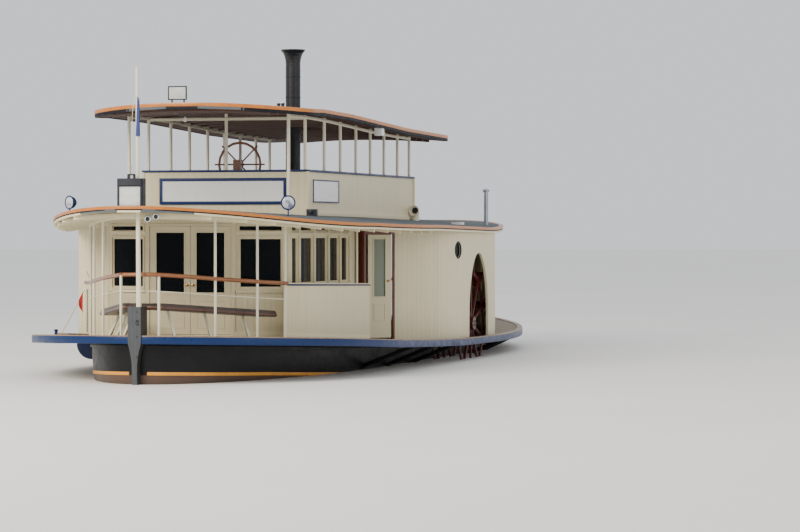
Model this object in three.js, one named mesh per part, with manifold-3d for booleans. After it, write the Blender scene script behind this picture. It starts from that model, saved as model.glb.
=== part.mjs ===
import * as THREE from 'three';
import { mergeVertices } from 'three/addons/utils/BufferGeometryUtils.js';
import Module from 'manifold-3d';

// River paddle steamer with side wheels, in millimetres. +X is the bow, +Y is port, +Z is up and
// Z = 0 is the flat bottom of the hull. Stations along the boat are distances aft of the stem.

const LENGTH = 22500;
const MIDSHIP = 11045;
const DRAUGHT = 700;
const HULL_HALF = 2450;
const DECK_HALF = 3550;
const DECK_THICK = 60;
const FASCIA_THICK = 30;
const FASCIA_DEEP = 135;
const ROOF_HALF = 3480;
const ROOF_THICK = 90;
const TOP_HALF = 2200;
const TOP_THICK = 100;
const TOP_CAMBER = 130;
const WALL = 50;
const POST_RADIUS = 26;
const GAP = 0.3;

// Walls and posts are drawn from under the deck to over the roof, or up from inside the roof, then cut.
const BELOW_DECK = 900;
const BELOW_ROOF = 3400;
const ABOVE_ROOF = 4200;

const SALOON_FRONT = 2910;
const SALOON_CORNER = 3310;
const SALOON_HALF = 1780;
const SALOON_END = 7700;
const BAY_HALF = 850;
const SILL = DRAUGHT + 790;
const DOOR_HEAD = DRAUGHT + 2830;
const SIDE_HEAD = DRAUGHT + 2660;
const BAY_SILL = DRAUGHT + 1660;
const WINDOW_SILL = DRAUGHT + 1740;
const WINDOW_HEAD = DRAUGHT + 2620;
const TRANSOM = [DRAUGHT + 2735, DRAUGHT + 2845];
const PANES = [[3430, 3830], [4010, 4790], [4970, 5720], [5900, 6520], [6700, 7160]];
const CABIN_END = 18200;

const WHEEL_STATION = 11800;
const WHEEL_RADIUS = 1350;
const WHEEL_INNER = 2530;
const WHEEL_OUTER = 3270;
const WHEEL_Z = DRAUGHT + 750;
const WHEEL_FLOATS = 10;
const SHAFT_RADIUS = 60;

const BOARD_FRONT = 4890;
const BOARD_END = 12620;
const BOARD_HALF = 1680;
const BOARD_THICK = 40;
const BOARD_TOP = DRAUGHT + 3890;
const FORE_POST = 3900;

const FUNNEL_STATION = 9240;
const FUNNEL_RADIUS = 155;
const FUNNEL_TOP = DRAUGHT + 6530;
const RUDDER_STATION = 21350;

const COLOURS = {
  cream: 0xe1d7b9, navy: 0x233c6e, blue: 0x144b91, black: 0x1e2026, grey: 0x5f6469, roof: 0x5f696e,
  timber: 0x96582f, dark: 0x3a2a20, white: 0xf2f2ec, red: 0x9c2620, steel: 0x9a9fa3,
};

const wasm = await Module();
wasm.setup();

const at = (aft) => MIDSHIP - aft;
const mix = (a, b, t) => a + (b - a) * t;

// Reads a table of [station, value] rows, straight between its rows.
function along(table, aft) {
  const next = Math.max(1, table.findIndex(([station]) => station >= aft));
  const [s0, v0] = table[next - 1];
  const [s1, v1] = table[next];
  return mix(v0, v1, Math.min(1, Math.max(0, (aft - s0) / (s1 - s0))));
}

// Half width of a plan that is full between two stations and rounds off to nothing at both ends.
// An end is [tip station, shoulder station, p, q] and follows (1 - t^p)^q, t from shoulder to tip.
function planHalf({ half, bow, stern }, aft) {
  const round = ([tip, shoulder, p, q]) => {
    const t = (aft - shoulder) / (tip - shoulder);
    return t <= 0 ? 1 : Math.max(0, 1 - Math.min(1, t) ** p) ** q;
  };
  return half * round(bow) * round(stern);
}

// Stations from tip to tip, packed closer together where the plan rounds off.
function stations({ bow, stern }, count) {
  const blunt = 0.05;
  return Array.from({ length: count + 1 }, (_, i) => {
    const turn = mix(blunt, Math.PI - blunt, i / count);
    const [from, to] = [bow[0], stern[0]];
    return mix(from, to, (1 - Math.cos(turn)) / 2);
  });
}

const HULL = { half: HULL_HALF, bow: [120, 7600, 2, 0.5], stern: [21000, 14000, 2, 0.5] };
const DECK = { half: DECK_HALF, bow: [-50, 5200, 2, 0.5], stern: [LENGTH - 60, 13500, 1.8, 0.6] };
const ROOF = { half: ROOF_HALF, bow: [-350, 8200, 2, 0.5], stern: [21900, 12200, 1.6, 0.7] };
const TOP = { half: TOP_HALF, bow: [2400, 3800, 2.2, 0.5], stern: [14900, 13500, 2.4, 0.5] };

const SHEER = [[-500, 870], [0, 860], [2500, 760], [5000, 640], [7500, 550], [10000, 480],
  [13000, 450], [17000, 460], [20000, 520], [LENGTH + 100, 620]];
const ROOF_LINE = [[-400, 3170], [2000, 3150], [4000, 3110], [8000, 3075], [13000, 3020], [22000, 3000]];
// The lower roof's drop from its middle to its full half width, greatest at the bow.
const ROOF_CAMBER = [[-400, 420], [2000, 400], [4500, 280], [8000, 230], [22000, 230]];
const TOP_LINE = [[2300, 5110], [4300, 5170], [6200, 5150], [10300, 5020], [15000, 4960]];

const deckZ = (aft) => DRAUGHT + along(SHEER, aft);
const roofZ = (aft, y) => DRAUGHT + along(ROOF_LINE, aft) - along(ROOF_CAMBER, aft) * (y / ROOF_HALF) ** 2;
const topZ = (aft, y) => DRAUGHT + along(TOP_LINE, aft) - TOP_CAMBER * (y / TOP_HALF) ** 2;

function solid(geometry) {
  const bare = geometry.clone();
  for (const name of Object.keys(bare.attributes)) if (name !== 'position') bare.deleteAttribute(name);
  const merged = mergeVertices(bare, 1e-3);
  return new wasm.Manifold(new wasm.Mesh({
    numProp: 3,
    vertProperties: new Float32Array(merged.attributes.position.array),
    triVerts: new Uint32Array(merged.index.array),
  }));
}

const joined = (...pieces) => pieces.flat().reduce((sum, piece) => sum.add(piece));
const cutBy = (body, ...tools) => tools.flat().reduce((rest, tool) => rest.subtract(tool), body);
const bothSides = (make) => [1, -1].map((side) => make(side));

// A block whose three parameters, each from 0 to 1, are bent into place by a map to [x, y, z].
function bent(nu, nv, nw, map) {
  const geometry = new THREE.BoxGeometry(1, 1, 1, nu, nv, nw);
  const points = geometry.attributes.position;
  for (let i = 0; i < points.count; i += 1) {
    points.setXYZ(i, ...map(points.getX(i) + 0.5, points.getY(i) + 0.5, points.getZ(i) + 0.5));
  }
  return solid(geometry);
}

// A slab over a plan, between a lower and an upper surface, each a function of station and y.
// The bow is at the high end of the block's first parameter, so that the faces point out.
function slab(plan, count, across, low, high, inset = 0) {
  const rows = stations(plan, count);
  return bent(count, across, 1, (u, v, w) => {
    const station = rows[Math.round((1 - u) * count)];
    const aft = Math.min(plan.stern[0] - inset, Math.max(plan.bow[0] + inset, station));
    const y = (2 * v - 1) * Math.max(20, planHalf(plan, station) - inset);
    return [at(aft), y, mix(low(aft, y), high(aft, y), w)];
  });
}

const DECK_ROWS = 26;
const ROOF_ROWS = 28;
const deckSlab = (low, high, inset) => slab(DECK, DECK_ROWS, 2, low, high, inset);
const roofSlab = (low, high) => slab(ROOF, ROOF_ROWS, 8, low, high);
const topSlab = (low, high) => slab(TOP, 20, 6, low, high);

const underDeckTop = deckSlab(() => -500, (aft) => deckZ(aft) + GAP);
const overDeckSoffit = deckSlab((aft) => deckZ(aft) - DECK_THICK - GAP, () => 3000);
const overRoofSoffit = roofSlab((aft, y) => roofZ(aft, y) - ROOF_THICK - GAP, () => 9000);
const underRoofTop = roofSlab(() => -500, (aft, y) => roofZ(aft, y) + GAP);
const overTopSoffit = topSlab((aft, y) => topZ(aft, y) - TOP_THICK - GAP, () => 9000);
const betweenDecks = (body) => cutBy(body, underDeckTop, overRoofSoffit);
const onRoof = (body) => cutBy(body, underRoofTop);

function box(aft0, aft1, y0, y1, z0, z1) {
  const geometry = new THREE.BoxGeometry(Math.abs(aft1 - aft0), Math.abs(y1 - y0), Math.abs(z1 - z0));
  return solid(geometry.translate(at((aft0 + aft1) / 2), (y0 + y1) / 2, (z0 + z1) / 2));
}

// A box centred on a point of the plan and turned about Z.
function turnedBox(aft, y, turn, long, thick, z0, z1) {
  const geometry = new THREE.BoxGeometry(long, thick, z1 - z0);
  return solid(geometry.rotateZ(turn).translate(at(aft), y, (z0 + z1) / 2));
}

function rod(from, to, radius, sides = 8, radiusTo = radius) {
  const [a, b] = [new THREE.Vector3(...from), new THREE.Vector3(...to)];
  const run = b.clone().sub(a);
  const geometry = new THREE.CylinderGeometry(radiusTo, radius, run.length(), sides);
  const turn = new THREE.Quaternion().setFromUnitVectors(new THREE.Vector3(0, 1, 0), run.normalize());
  const middle = a.add(b).multiplyScalar(0.5);
  return solid(geometry.applyQuaternion(turn).translate(middle.x, middle.y, middle.z));
}

const post = (aft, y, z0, z1, radius = 30, sides = 6) => rod(
  [at(aft), y, z0], [at(aft), y, z1], radius, sides);

function extruded(points, depth) {
  const shape = new THREE.Shape(points.map(([u, v]) => new THREE.Vector2(u, v)));
  return new THREE.ExtrudeGeometry(shape, { depth, bevelEnabled: false });
}

const overPlan = (points, z0, z1) => solid(extruded(points, z1 - z0).translate(0, 0, z0));
const acrossBeam = (points, y0, y1) => solid(
  extruded(points, y1 - y0).rotateX(Math.PI / 2).translate(0, y1, 0));

// A wall along a line in plan, given as [station, y] points, between two heights.
function wallAlong(line, thick, z0, z1) {
  const points = line.map(([aft, y]) => new THREE.Vector2(at(aft), y));
  const side = (sign) => points.map((point, i) => {
    const tangent = points[Math.min(i + 1, points.length - 1)].clone().sub(points[Math.max(i - 1, 0)]);
    const normal = new THREE.Vector2(-tangent.y, tangent.x).normalize();
    return [point.x + sign * normal.x * thick / 2, point.y + sign * normal.y * thick / 2];
  });
  return overPlan([...side(1), ...side(-1).reverse()], z0, z1);
}

function smoothLine(points, count) {
  const curve = new THREE.SplineCurve(points.map(([aft, y]) => new THREE.Vector2(aft, y)));
  return curve.getSpacedPoints(count).map((point) => [point.x, point.y]);
}

function tube(points, radius, steps) {
  const ring = Array.from({ length: 6 }, (_, i) => {
    const turn = i * Math.PI / 3 + 0.13;
    return new THREE.Vector2(radius * Math.cos(turn), radius * Math.sin(turn));
  });
  const path = new THREE.CatmullRomCurve3(points.map((point) => new THREE.Vector3(...point)));
  const shape = new THREE.Shape(ring);
  return solid(new THREE.ExtrudeGeometry(shape, { steps, extrudePath: path, bevelEnabled: false }));
}

// A rail that follows a line in plan at the height that a function of the station gives.
const railAlong = (line, level, radius) => tube(
  line.map(([aft, y]) => [at(aft), y, level(aft)]), radius, 2 * line.length);

const steamer = new THREE.Group();

function place(name, body, colour, roughness = 0.6, metalness = 0) {
  const { vertProperties, triVerts } = body.getMesh();
  const geometry = new THREE.BufferGeometry();
  geometry.setAttribute('position', new THREE.BufferAttribute(vertProperties, 3));
  geometry.setIndex(new THREE.BufferAttribute(triVerts, 1));
  geometry.computeVertexNormals();
  const material = new THREE.MeshStandardMaterial({ color: COLOURS[colour], roughness, metalness });
  const mesh = new THREE.Mesh(geometry, material);
  mesh.name = name;
  steamer.add(mesh);
}

const roundOpening = (aft, y, z, radius) => rod([at(aft), y - 400, z], [at(aft), y + 400, z], radius, 24);

// Hull: flat bottom, sides flared by a tenth, the bottom rising under the counter.
function hull() {
  const rows = stations(HULL, 30);
  const block = bent(30, 2, 4, (u, v, w) => {
    const aft = rows[Math.round((1 - u) * 30)];
    const rise = 450 * Math.max(0, (aft - 17500) / 3500) ** 1.5;
    const flare = 1 - 0.16 * (1 - w) ** 2.5;
    return [at(aft), (2 * v - 1) * Math.max(60, planHalf(HULL, aft) * flare), mix(rise, deckZ(aft), w)];
  });
  return cutBy(block, overDeckSoffit);
}

// Stem: a broad head that stands above the deck, drawn in to a narrow cutwater below it.
const STEM_TOP = DRAUGHT + 1390;
const STEM_AFT = 115;
const STEM_HALVES = [[0, 50], [DRAUGHT + 380, 50], [DRAUGHT + 560, 78], [DRAUGHT + 740, 125],
  [STEM_TOP + 10, 125]];

function stemPost() {
  const overDeck = deckZ(0) + 5;
  const profile = [[at(STEM_AFT), 120], [at(STEM_AFT), overDeck], [at(260), overDeck], [at(260), STEM_TOP],
    [at(-60), STEM_TOP], [at(-40), 300]];
  const taper = bent(1, 1, 24, (u, v, w) => {
    const z = w * (STEM_TOP + 10);
    return [at(mix(300, -100, u)), (2 * v - 1) * along(STEM_HALVES, z), z];
  });
  return acrossBeam(profile, -200, 200).intersect(taper);
}

const stemClear = box(-70, STEM_AFT + 5, -126, 126, 0, STEM_TOP + 10);

const WELL_HALF = WHEEL_RADIUS + 70;
const wheelWells = bothSides((side) => box(WHEEL_STATION - WELL_HALF, WHEEL_STATION + WELL_HALF,
  side * (HULL_HALF + 30), side * (WHEEL_OUTER + 25), 0, 2000));
const rudderStock = [at(RUDDER_STATION), 0];

function deck() {
  const plate = deckSlab((aft) => deckZ(aft) - DECK_THICK, (aft) => deckZ(aft), FASCIA_THICK + GAP);
  const stockHole = rod([...rudderStock, 0], [...rudderStock, 3000], 60, 12);
  return cutBy(plate, wheelWells, stemClear, stockHole);
}

function fascia() {
  const outer = deckSlab((aft) => deckZ(aft) - FASCIA_DEEP, (aft) => deckZ(aft));
  const inner = deckSlab(() => 0, () => 3000, FASCIA_THICK);
  return cutBy(outer, inner, stemClear);
}

place('hull', hull(), 'black', 0.45);
place('stem_post', stemPost(), 'grey', 0.6);
place('main_deck', deck(), 'grey', 0.8);
place('deck_fascia', fascia(), 'blue', 0.4);

// Saloon front: double doors in a flat middle, a window in each angled side of the bay.
const bayTurn = Math.atan2(SALOON_CORNER - SALOON_FRONT, SALOON_HALF - BAY_HALF);

function saloonFront() {
  const line = [[SALOON_CORNER, -SALOON_HALF], [SALOON_FRONT, -BAY_HALF], [SALOON_FRONT, BAY_HALF],
    [SALOON_CORNER, SALOON_HALF]];
  const wall = wallAlong(line, WALL, BELOW_DECK, ABOVE_ROOF);
  const doorway = box(SALOON_FRONT - 100, SALOON_FRONT + 100, -810, 810, SILL, DOOR_HEAD);
  const bayOpening = (side, z0, z1) => turnedBox((SALOON_FRONT + SALOON_CORNER) / 2,
    side * (BAY_HALF + SALOON_HALF) / 2, Math.PI / 2 + side * bayTurn, 820, 200, z0, z1);
  const panes = bothSides((side) => [bayOpening(side, BAY_SILL, WINDOW_HEAD), bayOpening(side, ...TRANSOM)]);
  return cutBy(betweenDecks(wall), doorway, panes.flat());
}

function saloonSide(side) {
  const start = SALOON_CORNER + 40;
  const faces = [side * (SALOON_HALF - 30), side * (SALOON_HALF + 20)];
  const wall = box(start, SALOON_END, ...faces, BELOW_DECK, ABOVE_ROOF);
  const [inside, outside] = [side * (SALOON_HALF - 200), side * (SALOON_HALF + 200)];
  const opening = (from, to, z0, z1) => box(from, to, inside, outside, z0, z1);
  const panes = PANES.flatMap(([from, to]) => [opening(from, to, WINDOW_SILL, WINDOW_HEAD),
    opening(from, to, ...TRANSOM)]);
  return cutBy(betweenDecks(wall), panes);
}

// Door leaf from its hinge side to the middle seam, with a tall glazed opening.
function doorLeaf(side) {
  const [front, back] = [SALOON_FRONT - 20, SALOON_FRONT + 20];
  const leaf = box(front, back, side * 803, side * 4, SILL + 8, DOOR_HEAD - 6);
  return cutBy(leaf, box(front - 30, back + 30, side * 690, side * 110, DRAUGHT + 1570, DOOR_HEAD - 110));
}

place('saloon_front', saloonFront(), 'cream', 0.6);
place('saloon_side_port', saloonSide(1), 'cream', 0.6);
place('saloon_side_starboard', saloonSide(-1), 'cream', 0.6);
place('saloon_door_port', doorLeaf(1), 'cream', 0.5);
place('saloon_door_starboard', doorLeaf(-1), 'cream', 0.5);

// Side walls, bowed out in plan round the wheels. The starboard one begins further forward.
const BOX_LINE = [[9200, 3080], [9900, 3270], [10450, 3325], [11800, 3350], [13250, 3325], [14900, 2940],
  [16600, 2440], [CABIN_END, 1890]];
const SIDE_DOOR = { hinge: [7880, 2008], latch: [8240, 2413] };
const portLine = smoothLine([[8312, 2456], ...BOX_LINE], 26);
const starboardLine = [[4820, -1830], ...smoothLine([[4790, -2760], [4880, -3010], [5350, -3130],
  [7300, -3200], ...BOX_LINE.slice(1).map(([aft, y]) => [aft, -y])], 30)];

function wheelArch(side) {
  const rise = new THREE.EllipseCurve(at(WHEEL_STATION), DRAUGHT + 900, 800, 1370, 0, Math.PI);
  const top = rise.getPoints(20).map((point) => [point.x, point.y]);
  const profile = [[at(WHEEL_STATION) - 800, 0], [at(WHEEL_STATION) + 800, 0], ...top];
  return acrossBeam(profile, side > 0 ? 3100 : -3600, side > 0 ? 3600 : -3100);
}

function sideWall(side, line) {
  const wall = wallAlong(line, WALL, BELOW_DECK, ABOVE_ROOF);
  const porthole = roundOpening(10160, side * 3200, DRAUGHT + 2336, 160);
  return cutBy(betweenDecks(wall), wheelArch(side), porthole);
}

function doorBetween({ hinge, latch }, trim, thick, z0, z1) {
  const run = Math.hypot(latch[0] - hinge[0], latch[1] - hinge[1]);
  const turn = Math.atan2(latch[1] - hinge[1], -(latch[0] - hinge[0]));
  return turnedBox((hinge[0] + latch[0]) / 2, (hinge[1] + latch[1]) / 2, turn, run - trim, thick, z0, z1);
}

place('side_wall_port', sideWall(1, portLine), 'cream', 0.6);
place('side_wall_starboard', sideWall(-1, starboardLine), 'cream', 0.6);
place('side_door_port', cutBy(
  doorBetween(SIDE_DOOR, 24, 40, deckZ(8000) + 30, SIDE_HEAD),
  doorBetween(SIDE_DOOR, 260, 200, DRAUGHT + 1390, SIDE_HEAD - 75),
), 'cream', 0.5);

// Door post and jambs that tie the saloon's side to the side door and the bowed wall.
function doorFrame() {
  const jambs = [turnedBox(7800, 1925, 1.1, 170, 60, BELOW_DECK, ABOVE_ROOF),
    post(8280, 2444, BELOW_DECK, ABOVE_ROOF, 24)];
  const jambLine = { hinge: [7790, 1925], latch: [8280, 2444] };
  const head = doorBetween(jambLine, 0, 50, SIDE_HEAD + 10, SIDE_HEAD + 80);
  return betweenDecks(joined(jambs, head));
}

place('side_door_frame', doorFrame(), 'timber', 0.6);

function aftWall() {
  const wall = wallAlong([[CABIN_END + 60, -1880], [CABIN_END + 60, 1880]], WALL, BELOW_DECK, ABOVE_ROOF);
  return cutBy(betweenDecks(wall), box(CABIN_END, CABIN_END + 200, -400, 400, 0, SIDE_HEAD));
}

place('aft_wall', aftWall(), 'cream', 0.6);

// Low boarded bulwark outboard of the saloon on the port side, with a cap and one post to the roof.
// Its top rises towards the bow.
const BULWARK_TOP = [[2500, 1765], [6500, 1690]];
const BULWARK_ROWS = 14;
const bulwarkLine = smoothLine(
  [[2800, 1900], [3100, 2075], [3600, 2230], [4500, 2350], [5700, 2425], [6450, 2450]], BULWARK_ROWS);
const bulwarkTop = (aft) => DRAUGHT + along(BULWARK_TOP, aft);

function bulwark() {
  const strake = (thick, low, high) => bent(BULWARK_ROWS, 1, 1, (u, v, w) => {
    const [aft, y] = bulwarkLine[Math.round((1 - u) * BULWARK_ROWS)];
    return [at(aft), y + (v - 0.5) * thick, mix(low(aft), high(aft), w)];
  });
  const boards = strake(40, () => BELOW_DECK, (aft) => bulwarkTop(aft) - 20);
  const cap = strake(80, (aft) => bulwarkTop(aft) - 40, bulwarkTop);
  return betweenDecks(joined(boards, cap, post(5720, 2425, BELOW_DECK, ABOVE_ROOF, POST_RADIUS)));
}

place('bulwark_port', bulwark(), 'cream', 0.6);

// Foredeck railing: rails that run aft from a blunt front across the bow, on steel posts of which
// some run on up to carry the roof.
const RAIL_LINE = [[-500, 1985], [100, 1962], [700, 1912], [1200, 1866], [2050, 1803], [2900, 1750]];
const railZ = (aft) => DRAUGHT + along(RAIL_LINE, aft);
const TALL_POSTS = [[1200, 1085], [2060, 1600], [2700, 1930]];
const railSide = (side) => [[230, 360], ...TALL_POSTS, ...(side > 0 ? [[2745, 1956]] : [[3000, 2140]])];

function foredeckRail(side) {
  const front = side > 0 ? [[225, -318], [185, 0]] : [];
  const points = [...front, ...railSide(side).map(([aft, y]) => [aft, side * y])];
  const line = smoothLine(points, side > 0 ? 14 : 10);
  const rails = [railAlong(line, railZ, 24), railAlong(line, (aft) => railZ(aft) - 290, 9)];
  const tall = TALL_POSTS.map(([aft, y]) => post(aft, side * y, BELOW_DECK, ABOVE_ROOF, POST_RADIUS));
  const low = post(230, side * 360, BELOW_DECK, railZ(230), POST_RADIUS);
  return betweenDecks(joined(rails, tall, low));
}

place('foredeck_rail_port', foredeckRail(1), 'cream', 0.5);
place('foredeck_rail_starboard', foredeckRail(-1), 'cream', 0.5);

// One bench in a blunt V inside the railing, on struts that lean in from the deck's edge.
const BENCH_OUTER = [[2740, -1740], [380, -400], [380, 400], [2740, 1740]];
const BENCH_INNER = [[2740, -1340], [560, -110], [560, 110], [2740, 1340]];
const benchZ = (aft) => DRAUGHT + 1460 - 0.08 * aft;

function bench() {
  const seat = bent(3, 1, 1, (u, v, w) => {
    const row = Math.round(u * 3);
    const aft = mix(BENCH_OUTER[row][0], BENCH_INNER[row][0], v);
    return [at(aft), mix(BENCH_OUTER[row][1], BENCH_INNER[row][1], v), benchZ(aft) - 100 * (1 - w)];
  });
  const struts = bothSides((side) => [[700, 500], [1450, 930], [2250, 1390]].map(([aft, y]) => rod(
    [at(aft), side * y, deckZ(aft) - 80], [at(aft + 110), side * (y - 190), benchZ(aft) - 60], 20, 6)));
  return cutBy(joined(seat, struts.flat()), underDeckTop);
}

place('foredeck_bench', bench(), 'timber', 0.7);

// Lower roof, which is also the upper deck, with openings for the funnel, stove pipe and stair.
const STAIR = { from: 10850, to: 12540, y0: -1300, y1: -600 };
const STAFF = { aft: -20, foot: 75, head: 43, roof: 62 };
const STOVE = [15000, 2750];

function lowerRoof() {
  const plate = roofSlab((aft, y) => roofZ(aft, y) - ROOF_THICK, roofZ);
  const through = [BELOW_ROOF, ABOVE_ROOF];
  const holes = [post(FUNNEL_STATION, 0, ...through, FUNNEL_RADIUS + 45, 20),
    post(...STOVE, ...through, 75, 12), post(STAFF.aft, STAFF.roof, ...through, 60, 12)];
  return cutBy(plate, holes, box(STAIR.from, STAIR.to, STAIR.y0, STAIR.y1, ...through));
}

place('lower_roof', lowerRoof(), 'roof', 0.8);
place('jackstaff', rod([at(STAFF.aft), STAFF.foot, STEM_TOP + 1], [at(STAFF.aft), STAFF.head, DRAUGHT + 5650],
  46, 10, 24), 'cream', 0.5);

// Upper bulwark: four boards that box in the upper deck, each with a navy cap left to its paint.
const board = (aft0, aft1, y0, y1) => onRoof(box(aft0, aft1, y0, y1, BELOW_ROOF, BOARD_TOP));
const sideBoard = (side) => board(
  BOARD_FRONT, BOARD_END, side * (BOARD_HALF - BOARD_THICK), side * BOARD_HALF);
const crossBoard = (from, to) => board(from, to, -BOARD_HALF, BOARD_HALF);
place('upper_board_front', crossBoard(BOARD_FRONT - BOARD_THICK, BOARD_FRONT - GAP), 'cream', 0.6);
place('upper_board_port', sideBoard(1), 'cream', 0.6);
place('upper_board_starboard', sideBoard(-1), 'cream', 0.6);
place('upper_board_aft', crossBoard(BOARD_END + GAP, BOARD_END + BOARD_THICK), 'cream', 0.6);

// Blank name boards on the front and on both sides.
const SIGN_Z = [DRAUGHT + 3255, DRAUGHT + 3765];
const SIGN_THICK = 25;

function sideSign(side) {
  const [inner, outer] = [side * (BOARD_HALF + GAP), side * (BOARD_HALF + SIGN_THICK)];
  return box(5170, 6890, inner, outer, SIGN_Z[0] + 40, SIGN_Z[1] - 30);
}

const signFace = BOARD_FRONT - BOARD_THICK - GAP;
place('sign_front', box(signFace - SIGN_THICK, signFace, -1330, 1270, ...SIGN_Z), 'white', 0.4);
place('sign_port', sideSign(1), 'white', 0.4);
place('sign_starboard', sideSign(-1), 'white', 0.4);

// Posts inside the upper boards, tied by a plate under the roof; two more stand ahead of the boards.
const UPPER_POSTS = [4960, 6220, 7320, 8430, 9490, 10540, 11600, 12560];
const POST_HEAD = 6200;
const POST_LINE = BOARD_HALF - BOARD_THICK - 33;
const FORE_HALF = 1610;

function upperFrame() {
  const [first] = UPPER_POSTS;
  const stand = (aft, y, radius = 32) => post(aft, y, BELOW_ROOF, POST_HEAD, radius);
  const sides = bothSides((side) => {
    const posts = UPPER_POSTS.map((aft) => stand(aft, side * POST_LINE));
    const line = [[FORE_POST, FORE_HALF], ...[first, 6200, 10300, 12600].map((aft) => [aft, POST_LINE])];
    const plate = line.map(([aft, y]) => [at(aft), side * y, topZ(aft, y) - TOP_THICK - 60]);
    return [...posts, stand(FORE_POST, side * FORE_HALF, 34), tube(plate, 34, 12)];
  });
  const lintel = rod([at(first), -POST_LINE, 5620], [at(first), POST_LINE, 5620], 34, 6);
  return cutBy(onRoof(joined(sides.flat(), lintel, stand(first, 0))), overTopSoffit);
}

place('upper_frame', upperFrame(), 'cream', 0.5);

function upperRoof() {
  const plate = topSlab((aft, y) => topZ(aft, y) - TOP_THICK, topZ);
  return cutBy(plate, post(FUNNEL_STATION, 0, 5000, 6500, FUNNEL_RADIUS + 30, 20));
}

place('upper_roof', upperRoof(), 'roof', 0.8);

// Funnel: a plain tube on the boiler whose mouth opens like a trumpet.
function funnel() {
  const r = FUNNEL_RADIUS;
  const base = BOILER_TOP + GAP;
  const profile = [[0, base], [r + 20, base], [r, base + 120], [r, FUNNEL_TOP - 280],
    [r + 8, FUNNEL_TOP - 210],
    [r + 24, FUNNEL_TOP - 140], [r + 52, FUNNEL_TOP - 75], [r + 100, FUNNEL_TOP - 18], [r + 100, FUNNEL_TOP],
    [r + 40, FUNNEL_TOP - 50], [r - 12, FUNNEL_TOP - 200], [r - 15, FUNNEL_TOP - 900], [0, FUNNEL_TOP - 900]];
  const points = profile.map(([radius, z]) => new THREE.Vector2(radius, z));
  return solid(new THREE.LatheGeometry(points, 24).rotateX(Math.PI / 2).translate(at(FUNNEL_STATION), 0, 0));
}

const BOILER_RADIUS = 620;
const BOILER_Z = 1950;
const BOILER_TOP = BOILER_Z + BOILER_RADIUS;

function boiler() {
  const barrel = rod([at(10600), 0, BOILER_Z], [at(8300), 0, BOILER_Z], BOILER_RADIUS, 24);
  const saddle = box(8600, 10300, -420, 420, BELOW_DECK, BOILER_Z);
  const seat = box(FUNNEL_STATION - 190, FUNNEL_STATION + 190, -190, 190, BOILER_Z, BOILER_TOP);
  return cutBy(joined(barrel, saddle, seat), underDeckTop);
}

place('funnel', funnel(), 'black', 0.5, 0.3);
place('boiler', boiler(), 'black', 0.7, 0.4);
place('engine', cutBy(box(12600, 14300, -500, 500, BELOW_DECK, 2050), underDeckTop), 'black', 0.6, 0.5);

// A rod across the boat on the wheels' axis.
const acrossRod = (y0, y1, radius) => rod(
  [at(WHEEL_STATION), y0, WHEEL_Z], [at(WHEEL_STATION), y1, WHEEL_Z], radius, 16);

// Paddle wheels: two rims, ten arms a side from a hub, a float board at each pair of arms.
function paddleWheel(side) {
  const centre = [at(WHEEL_STATION), WHEEL_Z];
  const ring = (radius, depth, y) => {
    const shape = new THREE.Shape().absarc(0, 0, radius, 0, 2 * Math.PI, false);
    shape.holes.push(new THREE.Path().absarc(0, 0, radius - 70, 0, 2 * Math.PI, true));
    const geometry = new THREE.ExtrudeGeometry(shape, { depth, bevelEnabled: false, curveSegments: 20 });
    return solid(geometry.rotateX(Math.PI / 2).translate(centre[0], y + depth / 2, centre[1]));
  };
  const middle = side * (WHEEL_INNER + WHEEL_OUTER) / 2;
  const faces = [middle - 290, middle + 290];
  const arms = Array.from({ length: WHEEL_FLOATS }, (_, i) => {
    const turn = (i + 0.5) * 2 * Math.PI / WHEEL_FLOATS;
    const radial = (length, width, deep, out, y) => {
      const geometry = new THREE.BoxGeometry(length, width, deep).translate(out, y, 0);
      return solid(geometry.rotateY(-turn).translate(centre[0], 0, centre[1]));
    };
    return [...faces.map((y) => radial(1150, 50, 60, 675, y)),
      radial(330, WHEEL_OUTER - WHEEL_INNER, 45, WHEEL_RADIUS - 180, middle)];
  });
  const hub = acrossRod(side * WHEEL_INNER, side * WHEEL_OUTER, 150);
  return joined(hub, faces.map((y) => ring(1130, 40, y)), arms.flat());
}

place('paddle_wheel_port', paddleWheel(1), 'red', 0.6);
place('paddle_wheel_starboard', paddleWheel(-1), 'red', 0.6);
place('paddle_shaft', acrossRod(-WHEEL_INNER + GAP, WHEEL_INNER - GAP, SHAFT_RADIUS), 'steel', 0.3, 0.9);

function bearing(side) {
  const [front, back] = [WHEEL_STATION - 170, WHEEL_STATION + 170];
  const block = box(front, back, side * 2180, side * 2380, BELOW_DECK, WHEEL_Z + 130);
  return cutBy(block, acrossRod(side * 2100, side * 2450, SHAFT_RADIUS + 2), underDeckTop);
}

place('shaft_bearing_port', bearing(1), 'grey', 0.5, 0.6);
place('shaft_bearing_starboard', bearing(-1), 'grey', 0.5, 0.6);

// Rudder under the counter, on a stock that comes up through the deck.
function rudder() {
  const profile = [[130, 1000], [130, 120], [-600, 80], [-640, 560], [-480, 1000]].map(
    ([ahead, z]) => [at(RUDDER_STATION) + ahead, z]);
  const blade = acrossBeam(profile, -30, 30);
  return joined(blade, rod([...rudderStock, 150], [...rudderStock, deckZ(RUDDER_STATION) + 150], 42, 12));
}

place('rudder', rudder(), 'black', 0.6);

// Steering wheel on a stand behind the front board.
const HELM = { station: 5700, z: DRAUGHT + 4050, radius: 520 };

function helmWheel() {
  const rim = new THREE.TorusGeometry(HELM.radius - 90, 26, 6, 20).rotateY(Math.PI / 2);
  const spokes = Array.from({ length: 4 }, (_, i) => {
    const turn = i * Math.PI / 4;
    const [c, s] = [Math.cos(turn) * HELM.radius, Math.sin(turn) * HELM.radius];
    return rod([0, -c, -s], [0, c, s], 16, 6);
  });
  const hub = rod([-45, 0, 0], [45, 0, 0], 75, 12);
  return joined(solid(rim), spokes, hub).translate([at(HELM.station + 70), 0, HELM.z]);
}

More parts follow.
